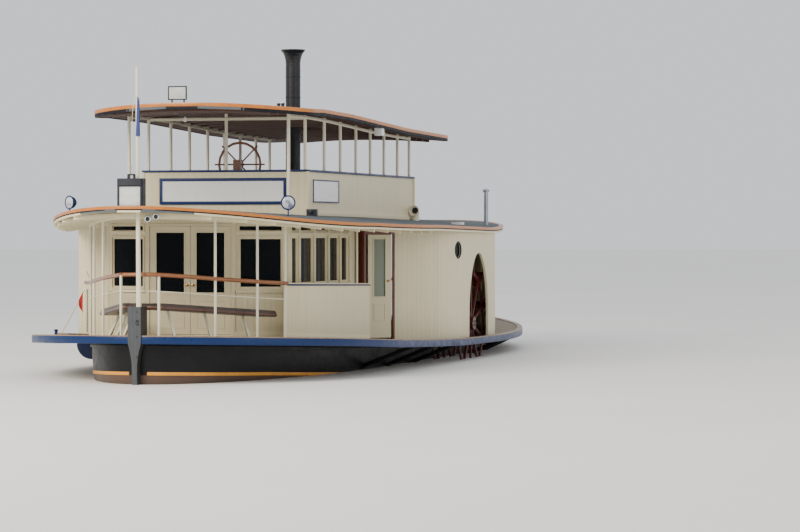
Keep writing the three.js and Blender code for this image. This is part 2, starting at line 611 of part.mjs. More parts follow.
function helmStand() {
  const shaft = rod([at(HELM.station + 24), 0, HELM.z], [at(HELM.station - 120), 0, HELM.z], 30, 8);
  const pillar = box(HELM.station - 120, HELM.station + 10, -75, 75, BELOW_ROOF, HELM.z + 90);
  return onRoof(joined(shaft, pillar));
}

place('helm_wheel', helmWheel(), 'timber', 0.4);
place('helm_stand', helmStand(), 'timber', 0.5);

// Slatted bench along each side of the upper deck.
function upperBench(side) {
  const z = DRAUGHT + 3450;
  const seat = box(6900, 10600, side * 900, side * 1320, z, z + 45);
  const leg = (aft) => box(aft - 25, aft + 25, side * 940, side * 1280, BELOW_ROOF, z + 10);
  const legs = [7100, 8750, 10400].map(leg);
  return onRoof(joined(seat, legs));
}

place('upper_bench_port', upperBench(1), 'timber', 0.6);
place('upper_bench_starboard', upperBench(-1), 'timber', 0.6);

// Stair from the main deck up through the roof on the starboard side.
function stair() {
  const [foot, head] = [13900, 12200];
  const [low, high] = [deckZ(foot), roofZ(head, -950)];
  const profile = [[at(foot), low], [at(foot - 300), low], [at(head - 100), high - 30],
    [at(head), high + 60]];
  const string = (y) => acrossBeam(profile, y - 20, y + 20);
  const steps = Array.from({ length: 9 }, (_, i) => {
    const t = (i + 1) / 10;
    const [aft, z] = [mix(foot - 140, head - 10, t), mix(low, high, t)];
    return box(aft - 120, aft + 120, -1240, -660, z - 20, z + 15);
  });
  return cutBy(joined(string(-1240), string(-660), steps), underDeckTop);
}

place('stair', stair(), 'timber', 0.7);

// Fittings: the floodlight on the jackstaff, a cowl ventilator and the galley's stove pipe.
function jackstaffFlood() {
  const z = DRAUGHT + 3420;
  const body = box(STAFF.aft - 240, STAFF.aft - 80, -240, 240, z - 250, z + 250);
  const arm = box(STAFF.aft - 90, STAFF.aft - 60, STAFF.roof - 30, STAFF.roof + 30, z - 60, z + 60);
  return joined(body, arm);
}

place('floodlight_jackstaff', jackstaffFlood(), 'navy', 0.4);

function cowl() {
  const [aft, y] = [12340, 1812];
  const z = roofZ(aft, y) + 200;
  const pipe = post(aft, y, BELOW_ROOF, z + 20, 85, 16);
  const mouth = rod([at(aft + 80), y, z + 15], [at(aft - 120), y, z + 15], 70, 18, 116);
  const bore = rod([at(aft - 20), y, z + 15], [at(aft - 200), y, z + 15], 96, 18);
  return cutBy(onRoof(joined(pipe, mouth)), bore);
}

function stovePipe() {
  const [aft, y] = STOVE;
  const top = DRAUGHT + 3690;
  const profile = [[0, BELOW_ROOF], [50, BELOW_ROOF], [50, top - 70], [85, top - 60], [85, top - 30],
    [30, top], [0, top]];
  const points = profile.map(([radius, z]) => new THREE.Vector2(radius, z));
  return solid(new THREE.LatheGeometry(points, 16).rotateX(Math.PI / 2).translate(at(aft), y, 0));
}

place('cowl_vent', cowl(), 'cream', 0.5);
place('stove_pipe', stovePipe(), 'steel', 0.4, 0.8);

// Rail round the aft deck, with posts that carry the roof.
const sternLine = smoothLine([[18450, 1800], [19500, 1430], [20400, 850], [20750, 0], [20400, -850],
  [19500, -1430], [18450, -1800]], 12);

function sternRail() {
  const rails = [[1000, 24], [550, 12]].map(
    ([rise, radius]) => railAlong(sternLine, (aft) => deckZ(aft) + rise, radius));
  const posts = [0, 3, 6, 9, 12].map((i) => sternLine[i]).map(([aft, y], i) => {
    const tall = Math.abs(i - 2) === 1;
    return post(aft, y, BELOW_DECK, tall ? ABOVE_ROOF : deckZ(aft) + 1000, 32);
  });
  return betweenDecks(joined(rails, posts));
}

place('stern_rail', sternRail(), 'cream', 0.5);

export default steamer;
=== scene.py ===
"""Looks of a river paddle steamer with side wheels, in metres: +X is the bow, +Y port, +Z up.

Stations along the boat are distances aft of the stem, and heights in the tables are above the water.
"""

import math

import bmesh
import bpy
import numpy as np
from bpy.props import FloatProperty, FloatVectorProperty, IntProperty, PointerProperty
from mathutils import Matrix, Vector


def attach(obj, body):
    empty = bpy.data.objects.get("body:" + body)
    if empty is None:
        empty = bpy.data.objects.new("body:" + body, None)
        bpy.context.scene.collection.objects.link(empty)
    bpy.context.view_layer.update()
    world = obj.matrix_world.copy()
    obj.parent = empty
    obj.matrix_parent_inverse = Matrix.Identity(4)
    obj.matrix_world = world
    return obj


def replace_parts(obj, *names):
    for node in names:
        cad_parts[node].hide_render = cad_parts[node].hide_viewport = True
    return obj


bl_info = {
    "name": "Paddle Steamer Finish",
    "version": (1, 0, 0),
    "blender": (4, 5, 0),
    "location": "3D View > Sidebar > Steamer",
    "description": "Paint, glass, trim and fittings of a river paddle steamer",
    "category": "Add Mesh",
}

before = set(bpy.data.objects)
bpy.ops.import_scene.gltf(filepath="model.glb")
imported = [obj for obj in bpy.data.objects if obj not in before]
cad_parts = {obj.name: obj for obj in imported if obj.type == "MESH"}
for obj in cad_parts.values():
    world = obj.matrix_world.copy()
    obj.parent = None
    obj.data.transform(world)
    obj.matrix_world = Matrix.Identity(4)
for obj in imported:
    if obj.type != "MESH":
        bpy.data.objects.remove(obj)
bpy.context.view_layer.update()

MIDSHIP = 11.045
DRAUGHT = 0.7

# Plans as in the solids: an end is (tip, shoulder, p, q) and follows (1 - t^p)^q from its shoulder.
DECK = {"half": 3.55, "bow": (-0.05, 5.2, 2, 0.5), "stern": (22.44, 13.5, 1.8, 0.6)}
ROOF = {"half": 3.48, "bow": (-0.35, 8.2, 2, 0.5), "stern": (21.9, 12.2, 1.6, 0.7)}
TOP = {"half": 2.2, "bow": (2.4, 3.8, 2.2, 0.5), "stern": (14.9, 13.5, 2.4, 0.5)}
HULL = {"half": 2.45, "bow": (0.12, 7.6, 2, 0.5), "stern": (21.0, 14.0, 2, 0.5)}
SHEER = ((-0.5, 0, 2.5, 5, 7.5, 10, 13, 17, 20, 22.6),
         (0.87, 0.86, 0.76, 0.64, 0.55, 0.48, 0.45, 0.46, 0.52, 0.62))
ROOF_LINE = ((-0.4, 2, 4, 8, 13, 22), (3.17, 3.15, 3.11, 3.075, 3.02, 3.0))
TOP_LINE = ((2.3, 4.3, 6.2, 10.3, 15), (5.11, 5.17, 5.15, 5.02, 4.96))
ROOF_CAMBER = ((-0.4, 2, 4.5, 8, 22), (0.42, 0.40, 0.28, 0.23, 0.23))
TOP_CAMBER = 0.13
ROOF_THICK, TOP_THICK, DECK_THICK = 0.09, 0.10, 0.06
LINE_DROP = 0.66  # the hull's line is this far under the deck
STERN_RISE, RISE_START, RISE_RUN = 0.45, 17.5, 3.5

SALOON_FRONT, SALOON_CORNER, SALOON_HALF, BAY_HALF = 2.91, 3.31, 1.78, 0.85
BOARD_FRONT, BOARD_END, BOARD_HALF, BOARD_TOP = 4.89, 12.62, 1.68, 4.59
SIGN_FOOT, SIGN_HEAD, SIDE_SIGN = DRAUGHT + 3.255, DRAUGHT + 3.765, 6.03
DOOR_SILL, DOOR_HEAD, SIDE_HEAD = DRAUGHT + 0.79, DRAUGHT + 2.83, DRAUGHT + 2.66
BAY_SILL, WINDOW_SILL, WINDOW_HEAD = DRAUGHT + 1.66, DRAUGHT + 1.74, DRAUGHT + 2.62
TRANSOM = (DRAUGHT + 2.735, DRAUGHT + 2.845)
PANES = ((3.43, 3.83), (4.01, 4.79), (4.97, 5.72), (5.90, 6.52), (6.70, 7.16))
BULWARK_TOP = ((2.5, 6.5), (1.765, 1.69))
BULWARK_LINE = ((2.8, 1.9), (3.1, 2.075), (3.6, 2.23), (4.5, 2.35), (5.7, 2.425), (6.45, 2.45))
RAIL_LINE = ((-0.5, 0.1, 0.7, 1.2, 2.05, 2.9), (1.985, 1.962, 1.912, 1.866, 1.803, 1.75))

BOW_POST, TALL_POSTS = (0.23, 0.36), ((1.2, 1.085), (2.06, 1.6), (2.7, 1.93))
SIDE_DOOR_HINGE, SIDE_DOOR_LATCH = (7.88, 2.008), (8.24, 2.413)
PORTHOLE_AFT, PORTHOLE_Y, PORTHOLE_Z = 10.16, 3.3, DRAUGHT + 2.336
STAIR_FRONT, STAIR_END, STAIR_LEFT, STAIR_RIGHT = 10.85, 12.54, -0.6, -1.3
FUNNEL_AFT, FUNNEL_RADIUS = 9.24, 0.155
BOILER_Z, BOILER_RADIUS = 1.95, 0.618
SHAFT_AFT, SHAFT_Z, HUB_FACE = 11.8, DRAUGHT + 0.75, 3.271
COWL_AFT, COWL_Y = 12.34, 1.812
STERN_RAIL, FOREDECK_SEAT, SEAT_FALL = 1.005, DRAUGHT + 1.46, 0.08
UPPER_SEAT, UPPER_BENCH, UPPER_BENCH_Y = DRAUGHT + 3.503, (6.9, 10.6), (0.94, 1.28)
LEAF_MIDDLE, LEAF_KNOB, LEAF_HINGE, KNOB_Z = 0.4035, 0.345, 0.39, DRAUGHT + 1.72
HINGES_Z, HINGE_TALL = (DRAUGHT + 1.0, DRAUGHT + 1.7, DRAUGHT + 2.45), 0.09
KNEES = (6.3, 7.9, 9.5, 14.2, 15.8, 17.4, 19.0)
HOOPS = (8.42, 9.0, 9.6, 10.1, 10.5)
FLAG_HEAD, FLAG_DROP, FLAG_FOLD, CLOTH_THICK = DRAUGHT + 5.12, 0.70, 9.5, 0.0016
PENNANT_DROP, PENNANT_TAPER = 0.42, 0.3
GLASS_HALF = 0.0025  # half the thickness of a pane
SHARP_ANGLE = math.radians(38)

# Two small lamps under the roof's tip, each as (station, y, height above the water).
LAMPS_UNDER_ROOF = ((0.06, 0.216, 2.955), (0.06, 0.371, 2.995))

# Round lamps on the roof, each as (station, y, radius, height of its stem, turn from ahead).
ROUND_LAMPS = ((2.6, 2.02, 0.125, 0.122, 0.28), (2.6, -2.31, 0.12, 0.182, -0.5))

# Camera: forward of the stem, to port, above the water; its bearing off the boat's centreline.
EYE_AHEAD, EYE_PORT, EYE_HEIGHT = 46.71, 17.84, 2.756
BEARING = math.radians(15.5)
FOCAL_PX, FRAME_WIDTH, FRAME_HEIGHT, HORIZON_PX = 2800, 800, 532, 230
SENSOR_MM, CLIP_END, FLOOR_REACH, SKY_STRENGTH = 36, 400, 900, 1.05

# Area lights, each as (name, place, side, watts, 8-bit tone).
LIGHTS = (("key", (38, -16, 24), 20, 16500, (255, 246, 230)),
          ("fill", (20, 42, 14), 30, 2400, (240, 244, 255)))


def srgb(red, green, blue):
    """Turns an 8-bit display colour into linear light: ((c + 0.055) / 1.055)^2.4."""
    linear = [((c / 255 + 0.055) / 1.055) ** 2.4 for c in (red, green, blue)]
    return (*linear, 1.0)


def colour(name, about, red, green, blue):
    """A colour property with its default given as an 8-bit display colour."""
    return FloatVectorProperty(name=name, description=about, default=srgb(red, green, blue), size=4,
                               min=0, max=1, subtype="COLOR")


class SteamerPaint(bpy.types.PropertyGroup):
    """Colours of the boat."""

    cream: colour("Cream", "Paint of the walls and boards", 228, 216, 178)
    posts: colour("Posts", "Paint of the posts and rails", 234, 226, 200)
    navy: colour("Navy", "Paint of the caps and sign borders", 22, 42, 94)
    fascia: colour("Fascia", "Paint of the band round the deck", 2, 40, 90)
    hull: colour("Hull", "Paint of the topsides", 12, 12, 15)
    stripe: colour("Stripe", "Line along the topsides", 236, 162, 58)
    edge: colour("Roof edge", "Varnish of the roofs' edges", 198, 116, 28)
    # The soffit colour is the wood's reddish brown, darkened in part as painted shade; the upper rafters
    # share it.
    soffit: colour("Upper soffit", "Boards under the upper roof", 84, 48, 36)
    roof: colour("Roof", "Covering of the roofs", 92, 101, 106)
    varnish: colour("Varnish", "Rails, benches and frames", 138, 82, 45)
    wheel: colour("Wheels", "Paint of the paddle wheels", 84, 32, 27)
    glass: colour("Glass", "Tint of the window glass", 22, 26, 30)


class SteamerTrim(bpy.types.PropertyGroup):
    """Sizes of the trim."""

    board_pitch: FloatProperty(name="Board pitch", description="Width of one wall board", default=0.1,
                               min=0.04, max=0.3, unit="LENGTH")
    plank_pitch: FloatProperty(name="Plank pitch", description="Width of one deck plank", default=0.14,
                               min=0.05, max=0.4, unit="LENGTH")
    cap_height: FloatProperty(name="Cap height", description="Depth of the caps on the boards", default=0.045,
                              min=0.02, max=0.1, unit="LENGTH")
    stripe_height: FloatProperty(name="Stripe height", description="Height of the line on the hull",
                                 default=0.06, min=0.02, max=0.2, unit="LENGTH")
    rafters: IntProperty(name="Rafters", description="Beams under the upper roof", default=22, min=6, max=60)


# Shapes in plan and height, all on whole arrays.


def plan_half(plan, aft):
    """Half width at each station: full amidships, (1 - t^p)^q towards each tip."""
    width = np.full_like(np.asarray(aft, float), plan["half"])
    for tip, shoulder, p, q in (plan["bow"], plan["stern"]):
        t = np.clip((aft - shoulder) / (tip - shoulder), 0, 1)
        width = width * (1 - t**p) ** q
    return width


def deck_z(aft):
    """Height of the deck, straight between the rows of the sheer table."""
    return DRAUGHT + np.interp(aft, *SHEER)


def roof_z(aft, y):
    """Top of the lower roof: its centre line less a camber that grows with y squared."""
    drop = np.interp(aft, *ROOF_CAMBER) * (np.asarray(y) / ROOF["half"]) ** 2
    return DRAUGHT + np.interp(aft, *ROOF_LINE) - drop


def top_z(aft, y):
    """Top of the upper roof: its centre line less a camber that grows with y squared."""
    return DRAUGHT + np.interp(aft, *TOP_LINE) - TOP_CAMBER * (np.asarray(y) / TOP["half"]) ** 2


def keel_z(aft):
    """Height of the hull's bottom, which is flat and then rises towards the stern."""
    return STERN_RISE * np.maximum(0, (aft - RISE_START) / RISE_RUN) ** 1.5


def hull_half(aft, z):
    """Half width of the hull, flared by 1 - 0.16 (1 - w)^2.5, w being the height from keel to deck."""
    keel = keel_z(aft)
    w = np.clip((z - keel) / (deck_z(aft) - keel), 0, 1)
    return np.maximum(0.06, plan_half(HULL, aft) * (1 - 0.16 * (1 - w) ** 2.5))


def at(aft, y, z):
    """Points from stations, y and heights, as one array of rows."""
    return np.stack(np.broadcast_arrays(MIDSHIP - np.asarray(aft, float), y, z), -1)


def above(line, height, rise=0.0):
    """Points over a line of (station, y) rows, at a height that depends on the station, plus a rise."""
    return at(line[:, 0], line[:, 1], height(line[:, 0]) + rise)


def mirrored(half, *middle):
    """A line of (station, y) points, any middle ones, and then the first ones on the other side."""
    return [*half, *middle, *((aft, -y) for aft, y in reversed(half))]


def spaced(plan, count, blunt=0.05):
    """Stations from tip to tip by a cosine, so that they are close together at both ends."""
    turn = np.linspace(blunt, math.pi - blunt, count)
    first, last = plan["bow"][0], plan["stern"][0]
    return first + (last - first) * (1 - np.cos(turn)) / 2


def rail_z(aft):
    """Height of the foredeck rail, straight between the rows of its table."""
    return DRAUGHT + np.interp(aft, *RAIL_LINE)


def bulwark_z(aft):
    """Height of the bulwark's top, which rises towards the bow."""
    return DRAUGHT + np.interp(aft, *BULWARK_TOP)


def rim(plan, count, inset=0.0):
    """The plan's outline, down port and back up starboard, moved inwards along its own normal."""
    aft = spaced(plan, count)
    half = plan_half(plan, aft)
    line = np.stack([np.concatenate([aft, aft[::-1]]), np.concatenate([half, -half[::-1]])], -1)
    run = np.roll(line, -1, axis=0) - np.roll(line, 1, axis=0)
    run /= np.linalg.norm(run, axis=1)[:, None]
    line = line - inset * np.stack([-run[:, 1], run[:, 0]], -1)
    return line[:, 0], line[:, 1]


def spline(points, count):
    """A Catmull-Rom curve through the points, spaced evenly along its length."""
    knots = np.asarray(points, float)
    ends = np.vstack([2 * knots[0] - knots[1], knots, 2 * knots[-1] - knots[-2]])
    t = np.linspace(0, len(knots) - 1 - 1e-9, 24 * len(knots))
    i, f = t.astype(int), (t % 1)[:, None]
    a, b, c, d = ends[i], ends[i + 1], ends[i + 2], ends[i + 3]
    bend, twist = 2 * a - 5 * b + 4 * c - d, 3 * b - a - 3 * c + d
    fine = 0.5 * (2 * b + (c - a) * f + bend * f**2 + twist * f**3)
    run = np.concatenate([[0], np.cumsum(np.linalg.norm(np.diff(fine, axis=0), axis=1))])
    even = np.linspace(0, run[-1], count)
    return np.stack([np.interp(even, run, fine[:, k]) for k in range(fine.shape[1])], -1)


# Sections: each is a closed outline in (out, up), counter-clockwise.


def round_section(radius, sides=12, flat=1.0):
    """A circle or ellipse: radius times (cos, flat sin)."""
    turn = np.arange(sides) * 2 * math.pi / sides
    return radius * np.stack([np.cos(turn), flat * np.sin(turn)], -1)


def soft_box(width, height, radius=0.004, middle=(0, 0)):
    """A rectangle about a middle with quarter-round corners."""
    turn = np.linspace(0, math.pi / 2, 3)
    corners = []
    for k, (sx, sy) in enumerate(((1, 1), (-1, 1), (-1, -1), (1, -1))):
        centre = np.array([sx * (width / 2 - radius), sy * (height / 2 - radius)])
        angle = turn + k * math.pi / 2
        corners.append(centre + radius * np.stack([np.cos(angle), np.sin(angle)], -1))
    return np.concatenate(corners) + np.array(middle)


def around(axis, steps):
    """An axis of length 1 and unit vectors all round it."""
    axis = Vector(axis).normalized()
    first = np.asarray(axis.orthogonal().normalized())
    turn = np.arange(steps) * 2 * math.pi / steps
    circle = np.cos(turn)[:, None] * first + np.sin(turn)[:, None] * np.cross(axis, first)
    return np.asarray(axis), circle


class Pile:
    """Surfaces gathered into one mesh. A surface is rings of points, shape (rings, points, 3)."""

    def __init__(self):
        self.points, self.faces, self.count = [], [], 0

    def skin(self, rings, loop=False):
        """Quads between each ring and the next; a loop joins the last to the first, else ends are capped."""
        n, m = rings.shape[:2]
        index = np.arange(n * m).reshape(n, m) + self.count
        nxt = np.roll(index, -1, axis=1)
        low, high = (index, np.roll(index, -1, axis=0)) if loop else (index[:-1], index[1:])
        low_n, high_n = (nxt, np.roll(nxt, -1, axis=0)) if loop else (nxt[:-1], nxt[1:])
        quads = np.stack([low, low_n, high_n, high], -1).reshape(-1, 4)
        self.faces += quads.tolist()
        if not loop:
            self.faces += [index[0, ::-1].tolist(), index[-1].tolist()]
        self.points.append(rings.reshape(-1, 3))
        self.count += n * m
        return self

    def beam(self, path, section, up=(0, 0, 1), loop=False):
        """A section carried along a path: side is tangent x up, and head is side x tangent."""
        path = np.asarray(path, float)
        if loop:
            tangent = np.roll(path, -1, axis=0) - np.roll(path, 1, axis=0)
        else:
            tangent = np.gradient(path, axis=0)
        tangent /= np.linalg.norm(tangent, axis=1)[:, None]
        side = np.cross(tangent, np.asarray(up, float))
        side /= np.linalg.norm(side, axis=1)[:, None]
        head = np.cross(side, tangent)
        out, up_by = section[None, :, :1], section[None, :, 1:]
        return self.skin(path[:, None] + out * side[:, None] + up_by * head[:, None], loop)

    def turned(self, profile, centre, axis=(0, 0, 1), steps=28):
        """A profile of (radius, along) rows turned about an axis: centre + radius (cos, sin) + along axis."""
        axis, circle = around(axis, steps)
        rows = np.asarray(profile, float)
        rings = np.asarray(centre, float) + rows[:, None, :1] * circle[None] + rows[:, None, 1:] * axis
        return self.skin(rings)

    def ring(self, radius, thick, centre, axis, steps=24, sides=10):
        """A torus: a circle of radius thick carried round a larger one about an axis."""
        axis, circle = around(axis, steps)
        rows = round_section(thick, sides)
        rings = centre + (radius + rows[None, :, :1]) * circle[:, None] + rows[None, :, 1:] * axis
        return self.skin(rings, loop=True)

    def casing(self, place, half_width, low, high, section):
        """A mitred frame round a rectangle: each corner moves out by the section's first column."""
        signs = np.array([(-1, -1), (1, -1), (1, 1), (-1, 1)], float)
        middle, tall = (low + high) / 2, (high - low) / 2
        s = signs[:, :1] * (half_width + section[None, :, 0])
        z = middle + signs[:, 1:] * (tall + section[None, :, 0])
        n = np.broadcast_to(section[None, :, 1], s.shape)
        return self.skin(place(s, n, z), loop=True)

    def block(self, place, s, n, z, radius=0.004):
        """A beam of soft box section, between two heights, on a wall's own axes."""
        section = soft_box(s[1] - s[0], n[1] - n[0], radius, ((s[0] + s[1]) / 2, (n[0] + n[1]) / 2))
        levels = np.array(z, float)[:, None]
        return self.skin(place(section[None, :, 0] + 0 * levels, section[None, :, 1] + 0 * levels,
                               levels + 0 * section[None, :, 0]))

    def make(self, name, finish, slot, body="boat"):
        """Puts the surfaces into a painted mesh object that rides on a body, faces pointing out."""
        mesh = bpy.data.meshes.new(name)
        mesh.from_pydata(np.concatenate(self.points), [], self.faces)
        mesh.materials.append(paint(finish))
        obj = bpy.data.objects.new(name, mesh)
        bpy.context.scene.collection.objects.link(obj)
        turn_out(mesh)
        mesh.shade_smooth()
        mesh.set_sharp_from_angle(angle=SHARP_ANGLE)
        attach(obj, body)
        return obj


def turn_out(mesh):
    """Turns every closed surface's faces outwards."""
    work = bmesh.new()
    work.from_mesh(mesh)
    bmesh.ops.recalc_face_normals(work, faces=work.faces)
    work.to_mesh(mesh)
    work.free()


def grid_object(name, points):
    """A sheet from a grid of points, with the grid's own u and v as its UV map."""
    n, m = points.shape[:2]
    index = np.arange(n * m).reshape(n, m)
    quads = np.stack([index[:-1, :-1], index[1:, :-1], index[1:, 1:], index[:-1, 1:]], -1).reshape(-1, 4)
    mesh = bpy.data.meshes.new(name)
    mesh.from_pydata(points.reshape(-1, 3), [], quads.tolist())
    mesh.shade_smooth()
    u, v = np.meshgrid(np.linspace(0, 1, n), np.linspace(0, 1, m), indexing="ij")
    corners = np.stack([u.ravel(), v.ravel()], -1)[quads.ravel()]
    mesh.uv_layers.new(name="UVMap").data.foreach_set("uv", corners.ravel())
    obj = bpy.data.objects.new(name, mesh)
    bpy.context.scene.collection.objects.link(obj)
    return obj


def wall_axes(aft, y, turn):
    """A wall's own axes: s along it, n out of it, z up. turn is the outward normal's angle from +X."""
    normal = np.array([math.cos(turn), math.sin(turn)])
    along = np.array([-normal[1], normal[0]])
    start = np.array([MIDSHIP - aft, y])

    def place(s, n, z):
        xy = start + np.asarray(s)[..., None] * along + np.asarray(n)[..., None] * normal
        return np.concatenate([xy, np.asarray(z)[..., None]], -1)

    return place


# Materials. Patterns read Object coordinates, so they stay still on the boat.


class Finish:
    """One material's nodes, built up step by step."""

    def __init__(self, name, base, roughness=0.5, metallic=0.0):
        self.material = bpy.data.materials.new(name)
        self.material.use_nodes = True
        self.tree = self.material.node_tree
        self.shader = self.tree.nodes["Principled BSDF"]
        self.base = tuple(base)
        self.set("Base Color", self.base)
        self.set("Roughness", roughness)
        self.set("Metallic", metallic)
        self.position = self.node("ShaderNodeTexCoord").outputs["Object"]

    def set(self, socket, value):
        """Sets a constant on the shader's own socket."""
        self.shader.inputs[socket].default_value = value
        return self

    def node(self, kind, links=(), **settings):
        """Adds a node; settings are its properties, links are (input, output socket or value) pairs."""
        node = self.tree.nodes.new(kind)
        for key, value in settings.items():
            setattr(node, key, value)
        for key, value in links:
            if isinstance(value, bpy.types.NodeSocket):
                self.tree.links.new(value, node.inputs[key])
            else:
                node.inputs[key].default_value = value
        return node

    def maths(self, operation, a, b=0.0):
        """One Math node's result."""
        return self.node("ShaderNodeMath", ((0, a), (1, b)), operation=operation).outputs[0]

    def axis(self, name):
        """One coordinate of the position."""
        return self.node("ShaderNodeSeparateXYZ", ((0, self.position),)).outputs[name]

    def noise(self, size=1.0, stretch=(1, 1, 1), detail=4.0, rough=0.55):
        """Noise whose features are about size metres, stretched along the axes."""
        scale = tuple(1 / (size * s) for s in stretch)
        moved = self.node("ShaderNodeMapping", (("Vector", self.position), ("Scale", scale)))
        links = (("Vector", moved.outputs[0]), ("Scale", 1.0), ("Detail", detail), ("Roughness", rough))
        return self.node("ShaderNodeTexNoise", links).outputs["Fac"]

    def seams(self, line, pitch, width):
        """0 at each seam, one pitch apart along the line, and 1 between them."""
        near = self.maths("PINGPONG", line, pitch / 2)
        links = (("Value", near), ("From Min", 0.0), ("From Max", width))
        return self.node("ShaderNodeMapRange", links, interpolation_type="SMOOTHSTEP").outputs[0]

    def each_board(self, line, pitch):
        """A number from 0 to 1 for each board between two seams."""
        step = self.maths("FLOOR", self.maths("DIVIDE", line, pitch))
        return self.node("ShaderNodeTexWhiteNoise", (("W", step),), noise_dimensions="1D").outputs["Value"]

    def level(self, value, low, high, start=0.0, end=1.0):
        """A value from start to end mapped to low to high."""
        links = (("Value", value), ("From Min", start), ("From Max", end), ("To Min", low), ("To Max", high))
        return self.node("ShaderNodeMapRange", links).outputs[0]

    def cloud(self, low, high, size, *noise):
        """Noise of a size in metres, its middle part mapped to low to high."""
        return self.level(self.noise(size, *noise), low, high, 0.3, 0.7)

    def shade(self, *factors):
        """The base colour times every factor."""
        total = factors[0]
        for factor in factors[1:]:
            total = self.maths("MULTIPLY", total, factor)
        grey = self.node("ShaderNodeCombineColor", ((0, total), (1, total), (2, total))).outputs[0]
        mix = self.node("ShaderNodeMix", data_type="RGBA", blend_type="MULTIPLY")
        mix.inputs["Factor"].default_value = 1.0
        mix.inputs["A"].default_value = self.base
        self.tree.links.new(grey, mix.inputs["B"])
        return mix.outputs["Result"]

    def toward(self, colour_in, target, amount):
        """A colour mixed towards a target by an amount."""
        mix = self.node("ShaderNodeMix", data_type="RGBA")
        self.tree.links.new(amount, mix.inputs["Factor"])
        if isinstance(colour_in, bpy.types.NodeSocket):
            self.tree.links.new(colour_in, mix.inputs["A"])
        else:
            mix.inputs["A"].default_value = colour_in
        mix.inputs["B"].default_value = target
        return mix.outputs["Result"]

    def colour(self, socket):
        """Joins a colour to the shader."""
        self.tree.links.new(socket, self.shader.inputs["Base Color"])
        return self

    def roughness(self, socket):
        """Joins a roughness to the shader."""
        self.tree.links.new(socket, self.shader.inputs["Roughness"])
        return self

    def bump(self, height, distance=0.004, strength=0.8):
        """Raises the surface by a height from 0 to 1 times a distance."""
        links = (("Height", height), ("Distance", distance), ("Strength", strength))
        bumped = self.node("ShaderNodeBump", links)
        self.tree.links.new(bumped.outputs[0], self.shader.inputs["Normal"])
        return self


def wall_line(finish):
    """The coordinate along a wall: y on walls that face the bow or stern, x on the others."""
    normal = finish.node("ShaderNodeNewGeometry").outputs["Normal"]
    facing = finish.node("ShaderNodeSeparateXYZ", ((0, normal),)).outputs["X"]
    ahead = finish.maths("GREATER_THAN", finish.maths("ABSOLUTE", facing), 0.75)
    mix = finish.node("ShaderNodeMix", data_type="FLOAT")
    finish.tree.links.new(ahead, mix.inputs["Factor"])
    finish.tree.links.new(finish.axis("X"), mix.inputs["A"])
    finish.tree.links.new(finish.axis("Y"), mix.inputs["B"])
    return mix.outputs["Result"]


def painted(name, base, roughness, wear):
    """Brushed gloss paint: slight mottling, faint rain streaks down it and fine brush marks."""
    f = Finish(name, base, roughness)
    mottle = f.cloud(1 - wear, 1 + wear * 0.5, 0.4)
    streak = f.level(f.noise(0.05, (1, 1, 14)), 1 - wear * 0.6, 1.0, 0.25, 0.6)
    f.colour(f.shade(mottle, streak))
    f.roughness(f.cloud(roughness - 0.08, roughness + 0.12, 0.12))
    f.set("Specular IOR Level", 0.3)
    return f.bump(f.noise(0.012, (1, 1, 6)), 0.0008, 0.3).material


def boarded(name, base, pitch, groove=0.006):
    """Upright painted boards: a fine groove at each joint, each board a little different, darker towards the
    bottom.
    """
    f = Finish(name, base, 0.45)
    line = wall_line(f)
    joint = f.seams(line, pitch, groove)
    board = f.level(f.each_board(line, pitch), 0.975, 1.012)
    mottle = f.cloud(0.965, 1.02, 0.7)
    streak = f.level(f.noise(0.06, (1, 1, 16)), 0.955, 1.0, 0.25, 0.55)
    # Darker towards the bottom of each wall, below a metre above the water.
    low_darkening = f.level(f.axis("Z"), 0.88, 1.0, DRAUGHT + 0.5, DRAUGHT + 1.0)
    f.colour(f.shade(f.level(joint, 0.78, 1.0), board, mottle, streak, low_darkening))
    f.roughness(f.cloud(0.39, 0.57, 0.2))
    return f.bump(f.maths("ADD", joint, f.level(f.noise(0.02, (1, 1, 8)), 0, 0.05)), 0.003, 0.8).material


def planked(name, base, pitch, seam_tone=0.35):
    """Weathered planks that run fore and aft: dark caulked seams, grain along the planks."""
    f = Finish(name, base, 0.7)
    line = f.axis("Y")
    seam = f.seams(line, pitch, 0.006)
    grain = f.noise(0.02, (18, 1, 1), 6)
    plank = f.level(f.each_board(line, pitch), 0.88, 1.08)
    f.colour(f.shade(f.level(seam, seam_tone, 1.0), plank, f.level(grain, 0.84, 1.1, 0.3, 0.7)))
    return f.bump(f.maths("ADD", seam, f.level(grain, 0, 0.25)), 0.003, 0.8).material


def varnished(name, base, roughness=0.32, contrast=0.28):
    """Oiled or varnished timber: long dark grain over a warm base."""
    f = Finish(name, base, roughness)
    grain = f.noise(0.012, (22, 3, 3), 6, 0.6)
    figure = f.noise(0.25, (3, 1, 1), 3)
    f.colour(f.shade(f.level(grain, 1 - contrast, 1 + contrast / 2, 0.3, 0.7),
                     f.level(figure, 0.88, 1.1, 0.3, 0.7)))
    f.set("Coat Weight", 0.35).set("Coat Roughness", 0.2)
    return f.bump(grain, 0.0008, 0.4).material


